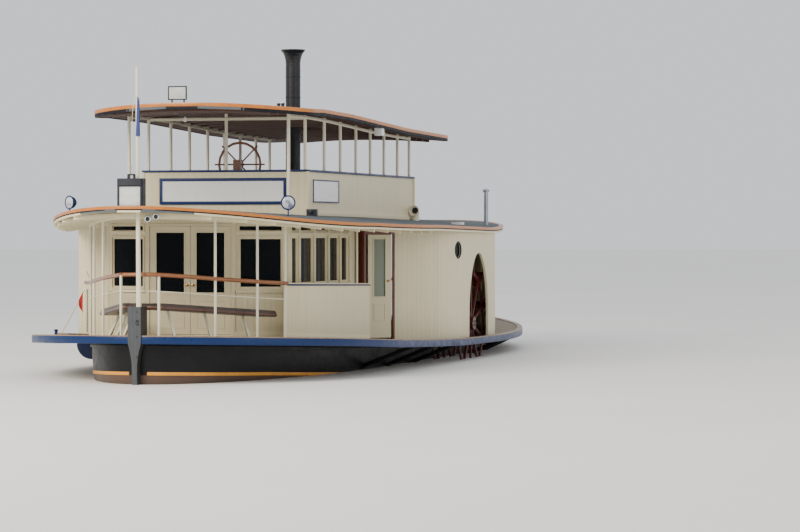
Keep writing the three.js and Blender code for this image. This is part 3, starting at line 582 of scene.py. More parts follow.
def hull_paint(name, base):
    """Black topsides with plank seams and scuffs, brown bottom paint under the line, weed at the water."""
    f = Finish(name, base, 0.3)
    seam = f.seams(f.axis("Z"), 0.17, 0.006)
    scuff = f.level(f.noise(0.05, (9, 9, 1), 6, 0.7), 0.0, 0.05, 0.62, 0.84)
    tone = f.toward(f.shade(f.level(seam, 0.7, 1.0), f.cloud(0.85, 1.2, 0.6)),
                    srgb(96, 100, 104), scuff)
    below = f.node("ShaderNodeAttribute", attribute_name="above_line").outputs["Fac"]
    tone = f.toward(tone, srgb(98, 76, 64), f.level(below, 0.85, 0.0, -0.035, -0.02))
    f.colour(f.toward(tone, srgb(58, 58, 46), f.level(f.axis("Z"), 0.6, 0.0, DRAUGHT - 0.02, DRAUGHT + 0.08)))
    f.roughness(f.cloud(0.34, 0.5, 0.15))
    f.set("Specular IOR Level", 0.25)
    return f.bump(f.maths("ADD", seam, f.level(f.noise(0.9), 0, 0.3)), 0.003, 0.3).material


def stem_paint(name):
    """Grey paint on the face of the stem, worn along the grain, with painted shade that turns its port-facing
    side near black.
    """
    f = Finish(name, srgb(66, 69, 73), 0.5)
    normal = f.node("ShaderNodeNewGeometry").outputs["Normal"]
    across = f.node("ShaderNodeSeparateXYZ", ((0, normal),)).outputs["Y"]
    wear = f.cloud(0.72, 1.18, 0.03, (1, 1, 14), 6)
    # Painted shade: faces turned to port are mixed towards near black.
    port_side_shade = f.level(across, 0.0, 0.88, 0.3, 0.8)
    f.colour(f.toward(f.shade(wear), srgb(40, 34, 32), port_side_shade))
    return f.bump(f.noise(0.02, (1, 1, 10)), 0.002, 0.6).material


def iron(name, base, roughness=0.55, metallic=0.3, rust=0.4):
    """Heat-dulled black iron, a little brown where it is worn."""
    f = Finish(name, base, roughness, metallic)
    brown = f.level(f.noise(0.09, (1, 1, 3), 6, 0.65), 0.0, rust, 0.6, 0.8)
    f.colour(f.toward(f.shade(f.cloud(0.8, 1.25, 0.3)), srgb(92, 62, 44), brown))
    f.roughness(f.cloud(roughness - 0.12, roughness + 0.18, 0.06))
    return f.bump(f.noise(0.01), 0.001, 0.5).material


def galvanised(name, base):
    """Zinc-coated steel: a flaky pattern of slightly different greys."""
    f = Finish(name, base, 0.36, 0.85)
    flake = f.node("ShaderNodeTexVoronoi", (("Vector", f.position), ("Scale", 55.0))).outputs["Distance"]
    f.colour(f.shade(f.level(flake, 0.82, 1.1, 0.0, 0.7), f.cloud(0.85, 1.08, 0.3)))
    return f.bump(flake, 0.0006, 0.4).material


def polished(name, base):
    """Polished metal with faint smears in its roughness."""
    f = Finish(name, base, 0.14, 1.0)
    f.roughness(f.cloud(0.07, 0.24, 0.04))
    return f.colour(f.shade(f.cloud(0.92, 1.04, 0.1))).material


def felted(name, base):
    """Roof covering: grey, laid in strips along the roof, with dust and stains."""
    f = Finish(name, base, 0.85)
    lap = f.seams(f.axis("Y"), 0.92, 0.012)
    stain = f.cloud(0.78, 1.15, 0.9, (2, 1, 1), 6)
    f.colour(f.shade(f.level(lap, 0.72, 1.0), stain, f.level(f.noise(0.01), 0.93, 1.06)))
    return f.bump(f.maths("ADD", lap, f.level(f.noise(0.006), 0, 0.3)), 0.004, 0.6).material


def window_glass(name, tint, alpha):
    """Window glass: partly clear, with the slight waves and smears of old panes."""
    f = Finish(name, tint, 0.06)
    f.set("IOR", 1.12).set("Alpha", alpha).set("Specular IOR Level", 0.4)
    f.roughness(f.cloud(0.04, 0.12, 0.3))
    return f.bump(f.noise(0.35), 0.002, 0.15).material


def lamp_glass(name):
    """A clear lamp lens, moulded in upright ribs, coloured pale with blue-grey patches as painted reflection.
    """
    f = Finish(name, srgb(232, 236, 238), 0.06)
    f.set("Alpha", 0.7).set("Coat Weight", 0.8)
    # The pale base and blue-grey patches are painted reflection in the lens.
    f.colour(f.toward(f.base, srgb(84, 98, 132), f.level(f.noise(0.11), 0.0, 0.8, 0.46, 0.6)))
    return f.bump(f.seams(f.axis("Y"), 0.018, 0.009), 0.002, 0.6).material


def lit_face(name):
    """A floodlight's face: pale glass, cloudy in patches, over a fine reflector pattern."""
    f = Finish(name, srgb(214, 218, 214), 0.18)
    cloud = f.cloud(0.84, 1.08, 0.12, (1, 1.4, 1))
    f.colour(f.shade(cloud, f.level(f.seams(f.axis("Z"), 0.03, 0.008), 0.93, 1.0)))
    f.set("Coat Weight", 0.9)
    return f.bump(f.seams(f.axis("Y"), 0.025, 0.01), 0.001, 0.4).material


def woven(name, *bands):
    """Flag cloth: a fine weave over plain bands, each given as its start along the fly and its tone."""
    f = Finish(name, bands[0][1], 0.9)
    uv = f.node("ShaderNodeSeparateXYZ", ((0, f.node("ShaderNodeTexCoord").outputs["UV"]),))
    tone = f.shade(f.cloud(0.85, 1.1, 0.08))
    for start, band in bands[1:]:
        tone = f.toward(tone, band, f.maths("GREATER_THAN", uv.outputs["X"], start))
    f.colour(tone).set("Sheen Weight", 0.3)
    thread = f.maths("ADD", f.seams(uv.outputs["X"], 0.004, 0.002), f.seams(uv.outputs["Y"], 0.003, 0.0015))
    return f.bump(thread, 0.0004, 0.4).material


MADE = {}


def paint(name):
    """The boat's materials by name, each made when it is first asked for by its maker and settings."""
    if name in MADE:
        return MADE[name]
    kit, trim = bpy.context.scene.steamer_paint, bpy.context.scene.steamer_trim
    makers = {
        "cream boards": (boarded, kit.cream, trim.board_pitch),
        "fine boards": (boarded, kit.cream, trim.board_pitch / 2, 0.004),
        "upper boards": (boarded, kit.cream, trim.board_pitch * 1.5),
        "cream trim": (painted, kit.cream, 0.42, 0.03),
        "post gloss": (painted, kit.posts, 0.34, 0.03),
        "navy": (painted, kit.navy, 0.38, 0.12),
        "charcoal": (painted, srgb(47, 50, 57), 0.42, 0.14),
        "fascia blue": (painted, kit.fascia, 0.34, 0.08),
        "hull black": (hull_paint, kit.hull),
        "stripe": (painted, kit.stripe, 0.45, 0.15),
        "stem paint": (stem_paint,),
        "roof edge": (varnished, kit.edge, 0.4, 0.2),
        "roof band": (painted, srgb(15, 15, 25), 0.6, 0.1),
        # Upper soffit boards: the wood's own reddish brown, darkened in part as painted shade.
        "upper soffit": (planked, kit.soffit, 0.11),
        # Lower soffit boards darkened to grey-brown as painted shade.
        "lower soffit": (planked, srgb(104, 98, 78), 0.11, 0.6),
        "roof grey": (felted, kit.roof),
        "varnish": (varnished, kit.varnish),
        "rail timber": (varnished, srgb(150, 92, 52), 0.3),
        "bench edge": (varnished, srgb(98, 56, 34), 0.4),
        "red timber": (varnished, srgb(108, 50, 34), 0.4),
        "worn timber": (varnished, srgb(150, 122, 98), 0.7, 0.4),
        # Upper rafters take the soffit colour, darkened in part as painted shade.
        "soffit timber": (varnished, kit.soffit, 0.5),
        "dark timber": (varnished, srgb(62, 42, 32), 0.5),
        "deck planks": (planked, srgb(140, 130, 114), trim.plank_pitch),
        "wheel red": (painted, kit.wheel, 0.5, 0.2),
        "funnel black": (iron, srgb(27, 27, 30), 0.34, 0.2, 0.12),
        "machine iron": (iron, srgb(52, 56, 58), 0.45, 0.5),
        "bright steel": (galvanised, srgb(170, 173, 175)),
        "zinc": (galvanised, srgb(165, 172, 178)),
        "chrome": (polished, srgb(218, 220, 222)),
        "reflector": (polished, srgb(168, 176, 190)),
        "brass": (polished, srgb(190, 152, 84)),
        "sign white": (painted, srgb(242, 242, 236), 0.3, 0.02),
        "glass": (window_glass, kit.glass, 0.88),
        # Side door glass: pale green-grey, partly frosted glass and partly painted reflection.
        "pale glass": (window_glass, srgb(150, 158, 142), 0.85),
        "lamp glass": (lamp_glass,),
        "lit face": (lit_face,),
        "red cloth": (woven, (0, srgb(186, 34, 36))),
        "flag cloth": (woven, (0, srgb(44, 58, 116)), (0.46, srgb(206, 208, 214)), (0.6, srgb(150, 52, 60)),
                       (0.66, srgb(206, 208, 214)), (0.74, srgb(44, 58, 116))),
    }
    maker, *settings = makers[name]
    MADE[name] = maker(name, *settings)
    return MADE[name]


SOLID_PAINT = {
    "stem paint": ("stem_post",),
    "hull black": ("rudder",),
    "deck planks": ("main_deck",),
    "cream boards": ("saloon_front", "saloon_side_port", "saloon_side_starboard", "side_wall_port",
                     "side_wall_starboard", "aft_wall"),
    "fine boards": ("bulwark_port",),
    "upper boards": ("upper_board_front", "upper_board_port", "upper_board_starboard", "upper_board_aft"),
    "cream trim": ("saloon_door_port", "saloon_door_starboard", "side_door_port"),
    "red timber": ("side_door_frame",),
    "sign white": ("sign_front", "sign_port", "sign_starboard"),
    "post gloss": ("foredeck_rail_port", "foredeck_rail_starboard", "stern_rail", "upper_frame", "jackstaff",
                   "cowl_vent"),
    "funnel black": ("funnel",),
    "machine iron": ("boiler", "engine", "shaft_bearing_port", "shaft_bearing_starboard"),
    "bright steel": ("paddle_shaft",),
    "wheel red": ("paddle_wheel_port", "paddle_wheel_starboard"),
    "zinc": ("stove_pipe",),
    "charcoal": ("floodlight_jackstaff",),
    "dark timber": ("foredeck_bench",),
    "varnish": ("upper_bench_port", "upper_bench_starboard", "stair", "helm_wheel", "helm_stand"),
}

# The pole on the starboard bow, from its foot on the deck to the rail's end.
POLE = (at(2.72, -2.55, deck_z(2.72) + 0.015), at(2.9, -2.14, rail_z(2.9) - 0.13))


class STEAMER_OT_camera(bpy.types.Operator):
    """Places the camera ahead of the bow and to port, a little above the deck"""

    bl_idname = "steamer.camera"
    bl_label = "Camera"

    def execute(self, context):
        """The horizon's height in the frame sets the tilt: atan((middle - horizon) / focal length)."""
        camera = bpy.data.objects.new("Camera", bpy.data.cameras.new("Camera"))
        context.scene.collection.objects.link(camera)
        camera.data.sensor_width = SENSOR_MM
        camera.data.lens = SENSOR_MM * FOCAL_PX / FRAME_WIDTH
        camera.data.clip_end = CLIP_END
        tilt = math.atan((FRAME_HEIGHT / 2 - HORIZON_PX) / FOCAL_PX)
        look = Vector((-math.cos(BEARING), -math.sin(BEARING), -math.tan(tilt)))
        camera.location = (MIDSHIP + EYE_AHEAD, EYE_PORT, DRAUGHT + EYE_HEIGHT)
        camera.rotation_euler = look.to_track_quat("-Z", "Y").to_euler()
        context.scene.camera = camera
        return {"FINISHED"}


class STEAMER_OT_stage(bpy.types.Operator):
    """Lays a pale floor at the waterline under soft light"""

    bl_idname = "steamer.stage"
    bl_label = "Stage"

    def execute(self, context):
        """The floor is level and wide, so that the boat can be seen from all round it."""
        run = np.linspace(-FLOOR_REACH, FLOOR_REACH, 13)
        x, y = np.meshgrid(-run, run, indexing="ij")
        floor = grid_object("floor", np.stack([x, y, np.full_like(x, DRAUGHT)], -1))
        f = Finish("pale floor", srgb(246, 245, 241), 0.85)
        floor.data.materials.append(f.colour(f.shade(f.cloud(0.98, 1.02, 6.0))).material)
        world = bpy.data.worlds.new("soft sky")
        world.use_nodes = True
        background = world.node_tree.nodes["Background"]
        background.inputs["Color"].default_value = srgb(238, 240, 244)
        background.inputs["Strength"].default_value = SKY_STRENGTH
        context.scene.world = world
        for light in LIGHTS:
            self.light(*light)
        return {"FINISHED"}

    def light(self, name, place, size, power, tone):
        """A square area light that faces the boat's middle."""
        data = bpy.data.lights.new(name, "AREA")
        data.size, data.energy, data.color = size, power, srgb(*tone)[:3]
        lamp = bpy.data.objects.new(name, data)
        lamp.location = place
        lamp.rotation_euler = (Vector((0, 0, 3)) - lamp.location).to_track_quat("-Z", "Y").to_euler()
        bpy.context.scene.collection.objects.link(lamp)


class STEAMER_OT_solids(bpy.types.Operator):
    """Paints the solids that show, each group of them in one finish"""

    bl_idname = "steamer.solids"
    bl_label = "Solids"

    def execute(self, context):
        """A node takes its finish in every slot."""
        for finish, nodes in SOLID_PAINT.items():
            for node in nodes:
                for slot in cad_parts[node].material_slots:
                    slot.material = paint(finish)
        return {"FINISHED"}


class STEAMER_OT_hull(bpy.types.Operator):
    """Builds the smooth hull with its line and moulding, and the stem's bolts"""

    bl_idname = "steamer.hull"
    bl_label = "Hull"

    def execute(self, context):
        """Sections from keel to deck at each station, at set shares of the height between them."""
        aft = spaced(HULL, 110, 0.03)
        shares = np.array([0, 0.02, 0.06, 0.12, 0.2, 0.32, 0.46, 0.62, 0.8, 1.0])
        keel, top = keel_z(aft), deck_z(aft) - DECK_THICK - 0.002
        z = keel[:, None] + (top - keel)[:, None] * shares
        half = hull_half(aft[:, None], z)
        port, starboard = at(aft[:, None], half, z), at(aft[:, None], -half, z)
        rings = np.concatenate([port, starboard[:, ::-1]], axis=1)
        skin = Pile().skin(rings).make("hull_skin", "hull black", "hull_paint")
        points = np.concatenate(rings)
        line = skin.data.attributes.new("above_line", "FLOAT", "POINT")
        line.data.foreach_set("value", points[:, 2] - deck_z(MIDSHIP - points[:, 0]) + LINE_DROP)
        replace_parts(skin, "hull")
        run = aft[(aft > 0.13) & (aft < 20.7)]
        height = context.scene.steamer_trim.stripe_height
        for name, finish, drop, high, proud in (("hull_line", "stripe", LINE_DROP, height, 0.008),
                                                ("hull_moulding", "hull black", 0.17, 0.06, 0.022)):
            pile, level = Pile(), deck_z(run) - drop
            for side in (1, -1):
                y = side * (hull_half(run, level) + proud / 2)
                pile.beam(at(run, y, level), soft_box(proud * 2, high))
            pile.make(name, finish, "hull_paint")
        self.stem_iron()
        return {"FINISHED"}

    def stem_iron(self):
        """Small domed bolts on the stem's face, and a ring on an eye near its head."""
        ahead = (1, 0, 0)
        iron_work = Pile()
        for z in (0.5, 0.86, 1.3):
            dome = [(0.014, 0), (0.012, 0.006), (0.006, 0.009), (0.001, 0.01)]
            iron_work.turned(dome, at(-0.058, 0.05, DRAUGHT + z), ahead, 10)
        eye = [(0.03, 0), (0.03, 0.006), (0.012, 0.01), (0.012, 0.03), (0.001, 0.032)]
        iron_work.turned(eye, at(-0.05, 0.065, DRAUGHT + 1.14), ahead, 12)
        iron_work.ring(0.038, 0.007, at(-0.08, 0.065, DRAUGHT + 1.11), (0.3, 1, 0.1))
        iron_work.make("stem_bolts", "machine iron", "stem_paint")


class STEAMER_OT_deck(bpy.types.Operator):
    """Puts the blue band, its covering board and the guards' knees round the deck"""

    bl_idname = "steamer.deck"
    bl_label = "Deck"

    def execute(self, context):
        """The band is a section carried round the plan's outline, its top level with the deck."""
        aft, y = rim(DECK, 150, 0.027)
        band = Pile().beam(at(aft, y, deck_z(aft) - 0.066), soft_box(0.05, 0.135, 0.008), loop=True)
        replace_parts(band.make("fascia_band", "fascia blue", "fascia_blue"), "deck_fascia")
        aft, y = rim(DECK, 150, 0.066)
        edge = Pile().beam(at(aft, y, deck_z(aft) + 0.008), soft_box(0.12, 0.024, 0.006), loop=True)
        edge.make("covering_board", "worn timber", "deck_boards")
        knees = Pile()
        for side in (1, -1):
            for station in KNEES:
                z = deck_z(station)
                foot = hull_half(station, z - 0.5)
                reach = plan_half(DECK, station) - 0.12
                y = side * np.array([foot - 0.02, foot + 0.05, reach])
                path = at(station, y, [z - 0.55, z - 0.5, z - 0.11])
                knees.beam(path, soft_box(0.08, 0.07, 0.01), (1, 0, 0))
        knees.make("guard_knees", "hull black", "hull_paint")
        return {"FINISHED"}


class STEAMER_OT_walls(bpy.types.Operator):
    """Adds caps, corners and skirtings to the walls"""

    bl_idname = "steamer.walls"
    bl_label = "Walls"

    def execute(self, context):
        """Caps and skirtings follow the walls' own lines."""
        self.bulwark(context.scene.steamer_trim.cap_height)
        skirt, corners = Pile(), Pile()
        strip = soft_box(0.02, 0.11)
        for side in (1, -1):
            wall = np.linspace([3.42, side * (SALOON_HALF + 0.03)], [7.66, side * (SALOON_HALF + 0.03)], 30)
            skirt.beam(above(wall, deck_z, 0.06), strip)
            bay = np.linspace([3.29, side * 1.80], [2.89, side * 0.87], 9)
            skirt.beam(at(bay[:, 0] - 0.012, bay[:, 1], deck_z(bay[:, 0]) + 0.06), strip)
            for station, across in ((SALOON_CORNER, SALOON_HALF), (SALOON_FRONT, BAY_HALF)):
                head = roof_z(station, across) - ROOF_THICK - 0.003
                path = at(station, side * across, [deck_z(station) + 0.003, head])
                corners.beam(path, soft_box(0.075, 0.075, 0.012), (1, 0, 0))
        skirt.make("saloon_skirting", "cream trim", "cream_paint")
        corners.make("corner_posts", "cream trim", "cream_paint")
        return {"FINISHED"}

    def bulwark(self, high):
        """A pale cap on the bulwark's line, a navy moulding under it and a skirting at its foot."""
        line = spline(BULWARK_LINE, 60)
        run = np.gradient(line, axis=0)
        out = np.stack([-run[:, 1], run[:, 0]], -1) / np.linalg.norm(run, axis=1)[:, None]
        cap = Pile().beam(above(line, bulwark_z, 0.004), soft_box(0.096, 0.018, 0.007))
        cap.make("bulwark_cap", "cream trim", "cream_paint")
        moulding = Pile().beam(above(line + 0.03 * out, bulwark_z, -0.021), soft_box(0.036, high * 0.7, 0.01))
        moulding.make("bulwark_moulding", "navy", "lamp_navy")
        skirting = Pile().beam(above(line + 0.026 * out, deck_z, 0.05), soft_box(0.016, 0.09))
        for a, y in (line[0], line[-1]):
            post = at(a, y, [deck_z(a) + 0.003, bulwark_z(a) - 0.045])
            skirting.beam(post, soft_box(0.06, 0.06, 0.01), (1, 0, 0))
        skirting.make("bulwark_skirting", "cream trim", "cream_paint")


class STEAMER_OT_windows(bpy.types.Operator):
    """Glazes and frames the saloon's windows and the portholes"""

    bl_idname = "steamer.windows"
    bl_label = "Windows"

    def execute(self, context):
        """The bay has a window and a light over it each side; the sides have five of each between posts."""
        frames, glass = Pile(), Pile()
        lean = math.atan2(SALOON_CORNER - SALOON_FRONT, SALOON_HALF - BAY_HALF)
        middle = (SALOON_FRONT + SALOON_CORNER) / 2
        for side in (1, -1):
            bay = wall_axes(middle, side * (BAY_HALF + SALOON_HALF) / 2, side * lean)
            self.glaze(frames, glass, bay, 0.41, BAY_SILL, WINDOW_HEAD, 0.034, True)
            self.glaze(frames, glass, bay, 0.41, *TRANSOM, 0.018, True)
            frames.block(bay, (-0.47, 0.47), (0.02, 0.075), (BAY_SILL - 0.075, BAY_SILL - 0.03), 0.008)
            for start, end in PANES:
                wall = wall_axes((start + end) / 2, side * (SALOON_HALF - 0.005), side * math.pi / 2)
                self.glaze(frames, glass, wall, (end - start) / 2, WINDOW_SILL, WINDOW_HEAD, 0.02, False)
                self.glaze(frames, glass, wall, (end - start) / 2, *TRANSOM, 0.014, False)
            self.porthole(glass, side)
        frames.make("window_frames", "cream trim", "cream_paint")
        glass.make("window_panes", "glass", "door_paint")
        self.posts()
        return {"FINISHED"}

    def glaze(self, frames, glass, place, half, low, high, sash, cased):
        """One window on a wall's axes: a casing outside if it has one, a sash in the opening and its pane."""
        if cased:
            frames.casing(place, half, low, high, soft_box(0.03, 0.018, 0.005, (0.011, 0.034)))
        frames.casing(place, half, low, high, soft_box(sash, 0.03, 0.005, (-sash / 2, 0.0)))
        span = (-half + 0.02, half - 0.02)
        glass.block(place, span, (-GLASS_HALF, GLASS_HALF), (low + 0.02, high - 0.02), 0.001)

    def posts(self):
        """Deep posts between the side windows, from sill to soffit, and a rail under the top lights."""
        posts = Pile()
        middles = [3.36, *((a[1] + b[0]) / 2 for a, b in zip(PANES, PANES[1:])), 7.27]
        for side in (1, -1):
            wall = wall_axes(0.0, side * SALOON_HALF, side * math.pi / 2)
            for station in middles:
                s = side * station
                top = roof_z(station, SALOON_HALF) - ROOF_THICK - 0.004
                posts.block(wall, (s - 0.045, s + 0.045), (0.018, 0.06), (WINDOW_SILL - 0.03, top), 0.008)
            for low, high, proud in ((WINDOW_SILL - 0.075, WINDOW_SILL - 0.03, 0.1),
                                     (WINDOW_HEAD + 0.03, TRANSOM[0] - 0.03, 0.05)):
                ends = sorted((side * 3.33, side * 7.36))
                posts.block(wall, ends, (0.018, proud), (low, high), 0.006)
        posts.make("window_posts", "cream trim", "cream_paint")

    def porthole(self, glass, side):
        """A ring of round section and a turned pane on the bowed wall."""
        centre, out = at(PORTHOLE_AFT, side * PORTHOLE_Y, PORTHOLE_Z), (0.12, side, 0)
        ring = Pile().ring(0.168, 0.018, centre + 0.03 * np.array(out), out, 32)
        ring.make(f"porthole_ring_{'port' if side > 0 else 'starboard'}", "charcoal", "engine_iron")
        glass.turned([(0.001, 0.0), (0.156, 0.0), (0.156, 0.006), (0.001, 0.006)], centre, out, 28)


class STEAMER_OT_doors(bpy.types.Operator):
    """Fits glass, beading, handles and hinges to the doors, and a casing round the front doorway"""

    bl_idname = "steamer.doors"
    bl_label = "Doors"

    def execute(self, context):
        """Each door's fittings ride with that door, and are placed on its own axes."""
        for side, name in ((1, "port"), (-1, "starboard")):
            place = wall_axes(SALOON_FRONT, side * LEAF_MIDDLE, 0)
            opening = (-side * 0.0035, 0.29, DRAUGHT + 1.57, DOOR_HEAD - 0.11)
            self.fit(f"door_{name}", place, opening, -side * LEAF_KNOB, side * LEAF_HINGE, "glass")
        hinge, latch = np.array(SIDE_DOOR_HINGE), np.array(SIDE_DOOR_LATCH)
        run, middle = latch - hinge, (hinge + latch) / 2
        length = float(np.hypot(*run))
        place = wall_axes(*middle, math.atan2(run[0], run[1]))
        opening = (0.0, (length - 0.26) / 2, DRAUGHT + 1.39, SIDE_HEAD - 0.075)
        self.fit("side_door", place, opening, length / 2 - 0.075, -length / 2 + 0.03, "pale glass")
        casing = Pile().casing(wall_axes(SALOON_FRONT, 0, 0), 0.815, DOOR_SILL, DOOR_HEAD,
                               soft_box(0.05, 0.022, 0.006, (0.025, 0.034)))
        casing.make("front_door_casing", "cream trim", "cream_paint")
        return {"FINISHED"}

    def fit(self, body, place, opening, handle, hinge, glass):
        """Beading round the glass, a lower moulded panel, a knob on both faces and three hinges."""
        shift, half, low, high = opening

        def moved(s, n, z):
            return place(np.asarray(s) + shift, n, z)

        bead, metal = Pile(), Pile()
        panels = ((0.0, low, high, 0.03), (0.02, DRAUGHT + 0.92, low - 0.14, 0.022))
        knob = [(0.024, 0), (0.024, 0.004), (0.009, 0.006), (0.009, 0.03), (0.02, 0.036), (0.026, 0.048),
                (0.02, 0.06), (0.002, 0.065)]
        for outward in (1, -1):
            for inset, foot, head, wide in panels:
                moulding = soft_box(wide, 0.012, 0.004, (0, outward * 0.024))
                bead.casing(moved, half - inset, foot, head, moulding)
            rose, beyond = place(np.full(2, handle), outward * np.array([0.022, 1.0]), np.full(2, KNOB_Z))
            metal.turned(knob, rose, beyond - rose, 16)
        for z in HINGES_Z:
            bead.block(place, (hinge - 0.012, hinge + 0.012), (0.02, 0.0245), (z, z + HINGE_TALL), 0.002)
        bead.make(f"{body}_beading", "cream trim", "door_paint", body)
        metal.make(f"{body}_furniture", "brass", "shaft_steel", body)
        span = (-half + 0.008, half - 0.008)
        pane = Pile().block(moved, span, (-GLASS_HALF, GLASS_HALF), (low + 0.008, high - 0.008), 0.001)
        pane.make(f"{body}_glass", glass, "door_paint", body)


class STEAMER_OT_roofs(bpy.types.Operator):
    """Edges, bands, soffit boards and rafters of the two roofs"""

    bl_idname = "steamer.roofs"
    bl_label = "Roofs"

    def execute(self, context):
        """The edges are sections carried round each roof's outline; wide is past any roof's side."""
        wide = 9
        self.edge("lower", ROOF, roof_z, 170, ((0.1, 0.015, -0.042, "roof edge"),
                                               (0.07, -0.038, -0.064, "roof band"),
                                               (0.06, -0.06, -ROOF_THICK - 0.013, "cream trim")))
        self.edge("upper", TOP, top_z, 130, ((0.1, 0.015, -0.055, "roof edge"),
                                             (0.07, -0.05, -TOP_THICK - 0.013, "roof band")))
        cover, boards = Pile(), Pile()
        self.sheet(cover, TOP, top_z, (0, TOP_THICK), (2.42, 14.88), (-wide, wide))
        self.sheet(boards, TOP, top_z, (TOP_THICK + 0.002, TOP_THICK + 0.012), (2.44, 14.86), (-wide, wide))
        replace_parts(cover.make("upper_roof_cover", "roof grey", "roof_covering"), "upper_roof")
        boards.make("upper_soffit_boards", "upper soffit", "roof_covering")
        cover, boards = Pile(), Pile()
        well = (STAIR_FRONT, STAIR_END)
        for span, across in (((-0.32, STAIR_FRONT), (-wide, wide)), (well, (STAIR_LEFT, wide)),
                             (well, (-wide, STAIR_RIGHT)), ((STAIR_END, 21.88), (-wide, wide))):
            self.sheet(cover, ROOF, roof_z, (0, ROOF_THICK), span, across)
            self.sheet(boards, ROOF, roof_z, (ROOF_THICK + 0.002, ROOF_THICK + 0.012), span, across)
        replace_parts(cover.make("lower_roof_cover", "roof grey", "roof_covering"), "lower_roof")
        # The lower soffit boards' dark grey-brown is painted shade.
        boards.make("lower_soffit_boards", "lower soffit", "roof_covering")
        beams = Pile()
        for station in np.linspace(2.9, 14.5, context.scene.steamer_trim.rafters):
            self.rafter(beams, TOP, top_z, TOP_THICK - 0.02, station, -1.55, 1.55)
        beams.make("upper_rafters", "soffit timber", "roof_covering")
        beams = Pile()
        for station in np.concatenate([np.arange(0.35, 2.8, 0.6), np.arange(18.5, 21.4, 0.6)]):
            self.rafter(beams, ROOF, roof_z, ROOF_THICK, station, -wide, wide)
        for station in np.arange(3.45, 8.0, 0.6):
            self.rafter(beams, ROOF, roof_z, ROOF_THICK, station, SALOON_HALF + 0.02, wide)
            if station < 4.6:
                self.rafter(beams, ROOF, roof_z, ROOF_THICK, station, -wide, -SALOON_HALF - 0.02)
        line = spline(mirrored([(2.8, 1.99), *TALL_POSTS[1::-1], (0.42, 0.5)], (0.16, 0)), 70)
        level = roof_z(line[:, 0], line[:, 1]) - ROOF_THICK - 0.065
        beams.beam(at(line[:, 0], line[:, 1], level), soft_box(0.04, 0.11, 0.006))
        beams.make("lower_rafters", "cream trim", "roof_covering")
        return {"FINISHED"}

    def edge(self, name, plan, height, count, layers):
        """Mouldings one under another round a roof: each is (width, top, foot, paint), set in by steps."""
        top = height(*rim(plan, count))
        for i, (wide, high, low, finish) in enumerate(layers):
            aft, y = rim(plan, count, wide / 2 + 0.0005 + 0.006 * i)
            section = soft_box(wide, high - low, 0.005)
            strip = Pile().beam(at(aft, y, top + (high + low) / 2), section, loop=True)
            strip.make(f"{name}_roof_edge_{i + 1}", finish, "roof_covering")

    def sheet(self, pile, plan, height, drops, span, across):
        """Part of a roof as a slab: a grid over the plan between y limits, at two depths below its top."""
        aft = spaced(plan, 240)
        aft = np.unique(np.concatenate([aft[(aft > span[0]) & (aft < span[1])], span]))[:, None]
        half = plan_half(plan, aft) - 0.02
        y = np.linspace(np.maximum(across[0], -half), np.minimum(across[1], half), 15, axis=1)[..., 0]
        upper, lower = (at(aft, y, height(aft, y) - drop) for drop in drops)
        pile.skin(np.concatenate([upper, lower[:, ::-1]], axis=1))

    def rafter(self, pile, plan, height, thick, station, left, right):
        """A beam across the boat that follows the camber, between two y limits and the band."""
        half = plan_half(plan, station) - 0.07
        y = np.linspace(max(left, -half), min(right, half), 15)
        pile.beam(at(station, y, height(station, y) - thick - 0.045), soft_box(0.045, 0.075, 0.005))


class STEAMER_OT_upper_boards(bpy.types.Operator):
    """Caps, corner mouldings and bordered blank name boards of the upper deck"""

    bl_idname = "steamer.upper_boards"
    bl_label = "Upper boards"

    def execute(self, context):
        """Caps run round the four boards; each name board has a border on all four sides."""
        caps, feet, edges = Pile(), Pile(), Pile()
        front, end = BOARD_FRONT - 0.02, BOARD_END + 0.02
        corners = [(front, BOARD_HALF), (end, BOARD_HALF), (end, -BOARD_HALF), (front, -BOARD_HALF)]
        high = context.scene.steamer_trim.cap_height
        for start, stop in zip(corners, corners[1:] + corners[:1]):
            run = np.linspace(start, stop, 24)
            caps.beam(at(run[:, 0], run[:, 1], BOARD_TOP + 0.012), soft_box(0.085, high, 0.014))
            y = run[:, 1] * 1.012
            feet.beam(at(run[:, 0], y, roof_z(run[:, 0], y) + 0.05), soft_box(0.022, 0.1, 0.005))
            path = at(*start, [roof_z(*start) + 0.002, BOARD_TOP])
            edges.beam(path, soft_box(0.07, 0.07, 0.01), (1, 0, 0))
        caps.make("board_caps", "navy", "lamp_navy")
        feet.make("board_skirting", "cream trim", "cream_paint")
        edges.make("board_corners", "cream trim", "cream_paint")
        self.border("front", wall_axes(BOARD_FRONT - 0.065, -0.03, 0), 1.3, SIGN_FOOT, SIGN_HEAD, 0.062)
        for side, name in ((1, "port"), (-1, "starboard")):
            place = wall_axes(SIDE_SIGN, side * (BOARD_HALF + 0.025), side * math.pi / 2)
            self.border(name, place, 0.86, SIGN_FOOT + 0.04, SIGN_HEAD - 0.03, 0.024)
        return {"FINISHED"}

    def border(self, name, place, half, low, high, wide):
        """A navy border on a board's edge, and round-headed screws inside it."""
        border = Pile().casing(place, half, low, high, soft_box(wide, 0.02, 0.006, (0.003 - wide / 2, 0.004)))
        border.make(f"sign_border_{name}", "navy", "lamp_navy")
        screws = Pile()
        for s in (-half + 0.14, 0.0, half - 0.14):
            for z in (low + wide + 0.03, high - wide - 0.03):
                centre, beyond = place(np.array([s, s]), np.array([0.0, 1.0]), np.array([z, z]))
                screws.turned([(0.009, 0), (0.008, 0.003), (0.001, 0.004)], centre, beyond - centre, 10)
        screws.make(f"sign_screws_{name}", "chrome", "shaft_steel")


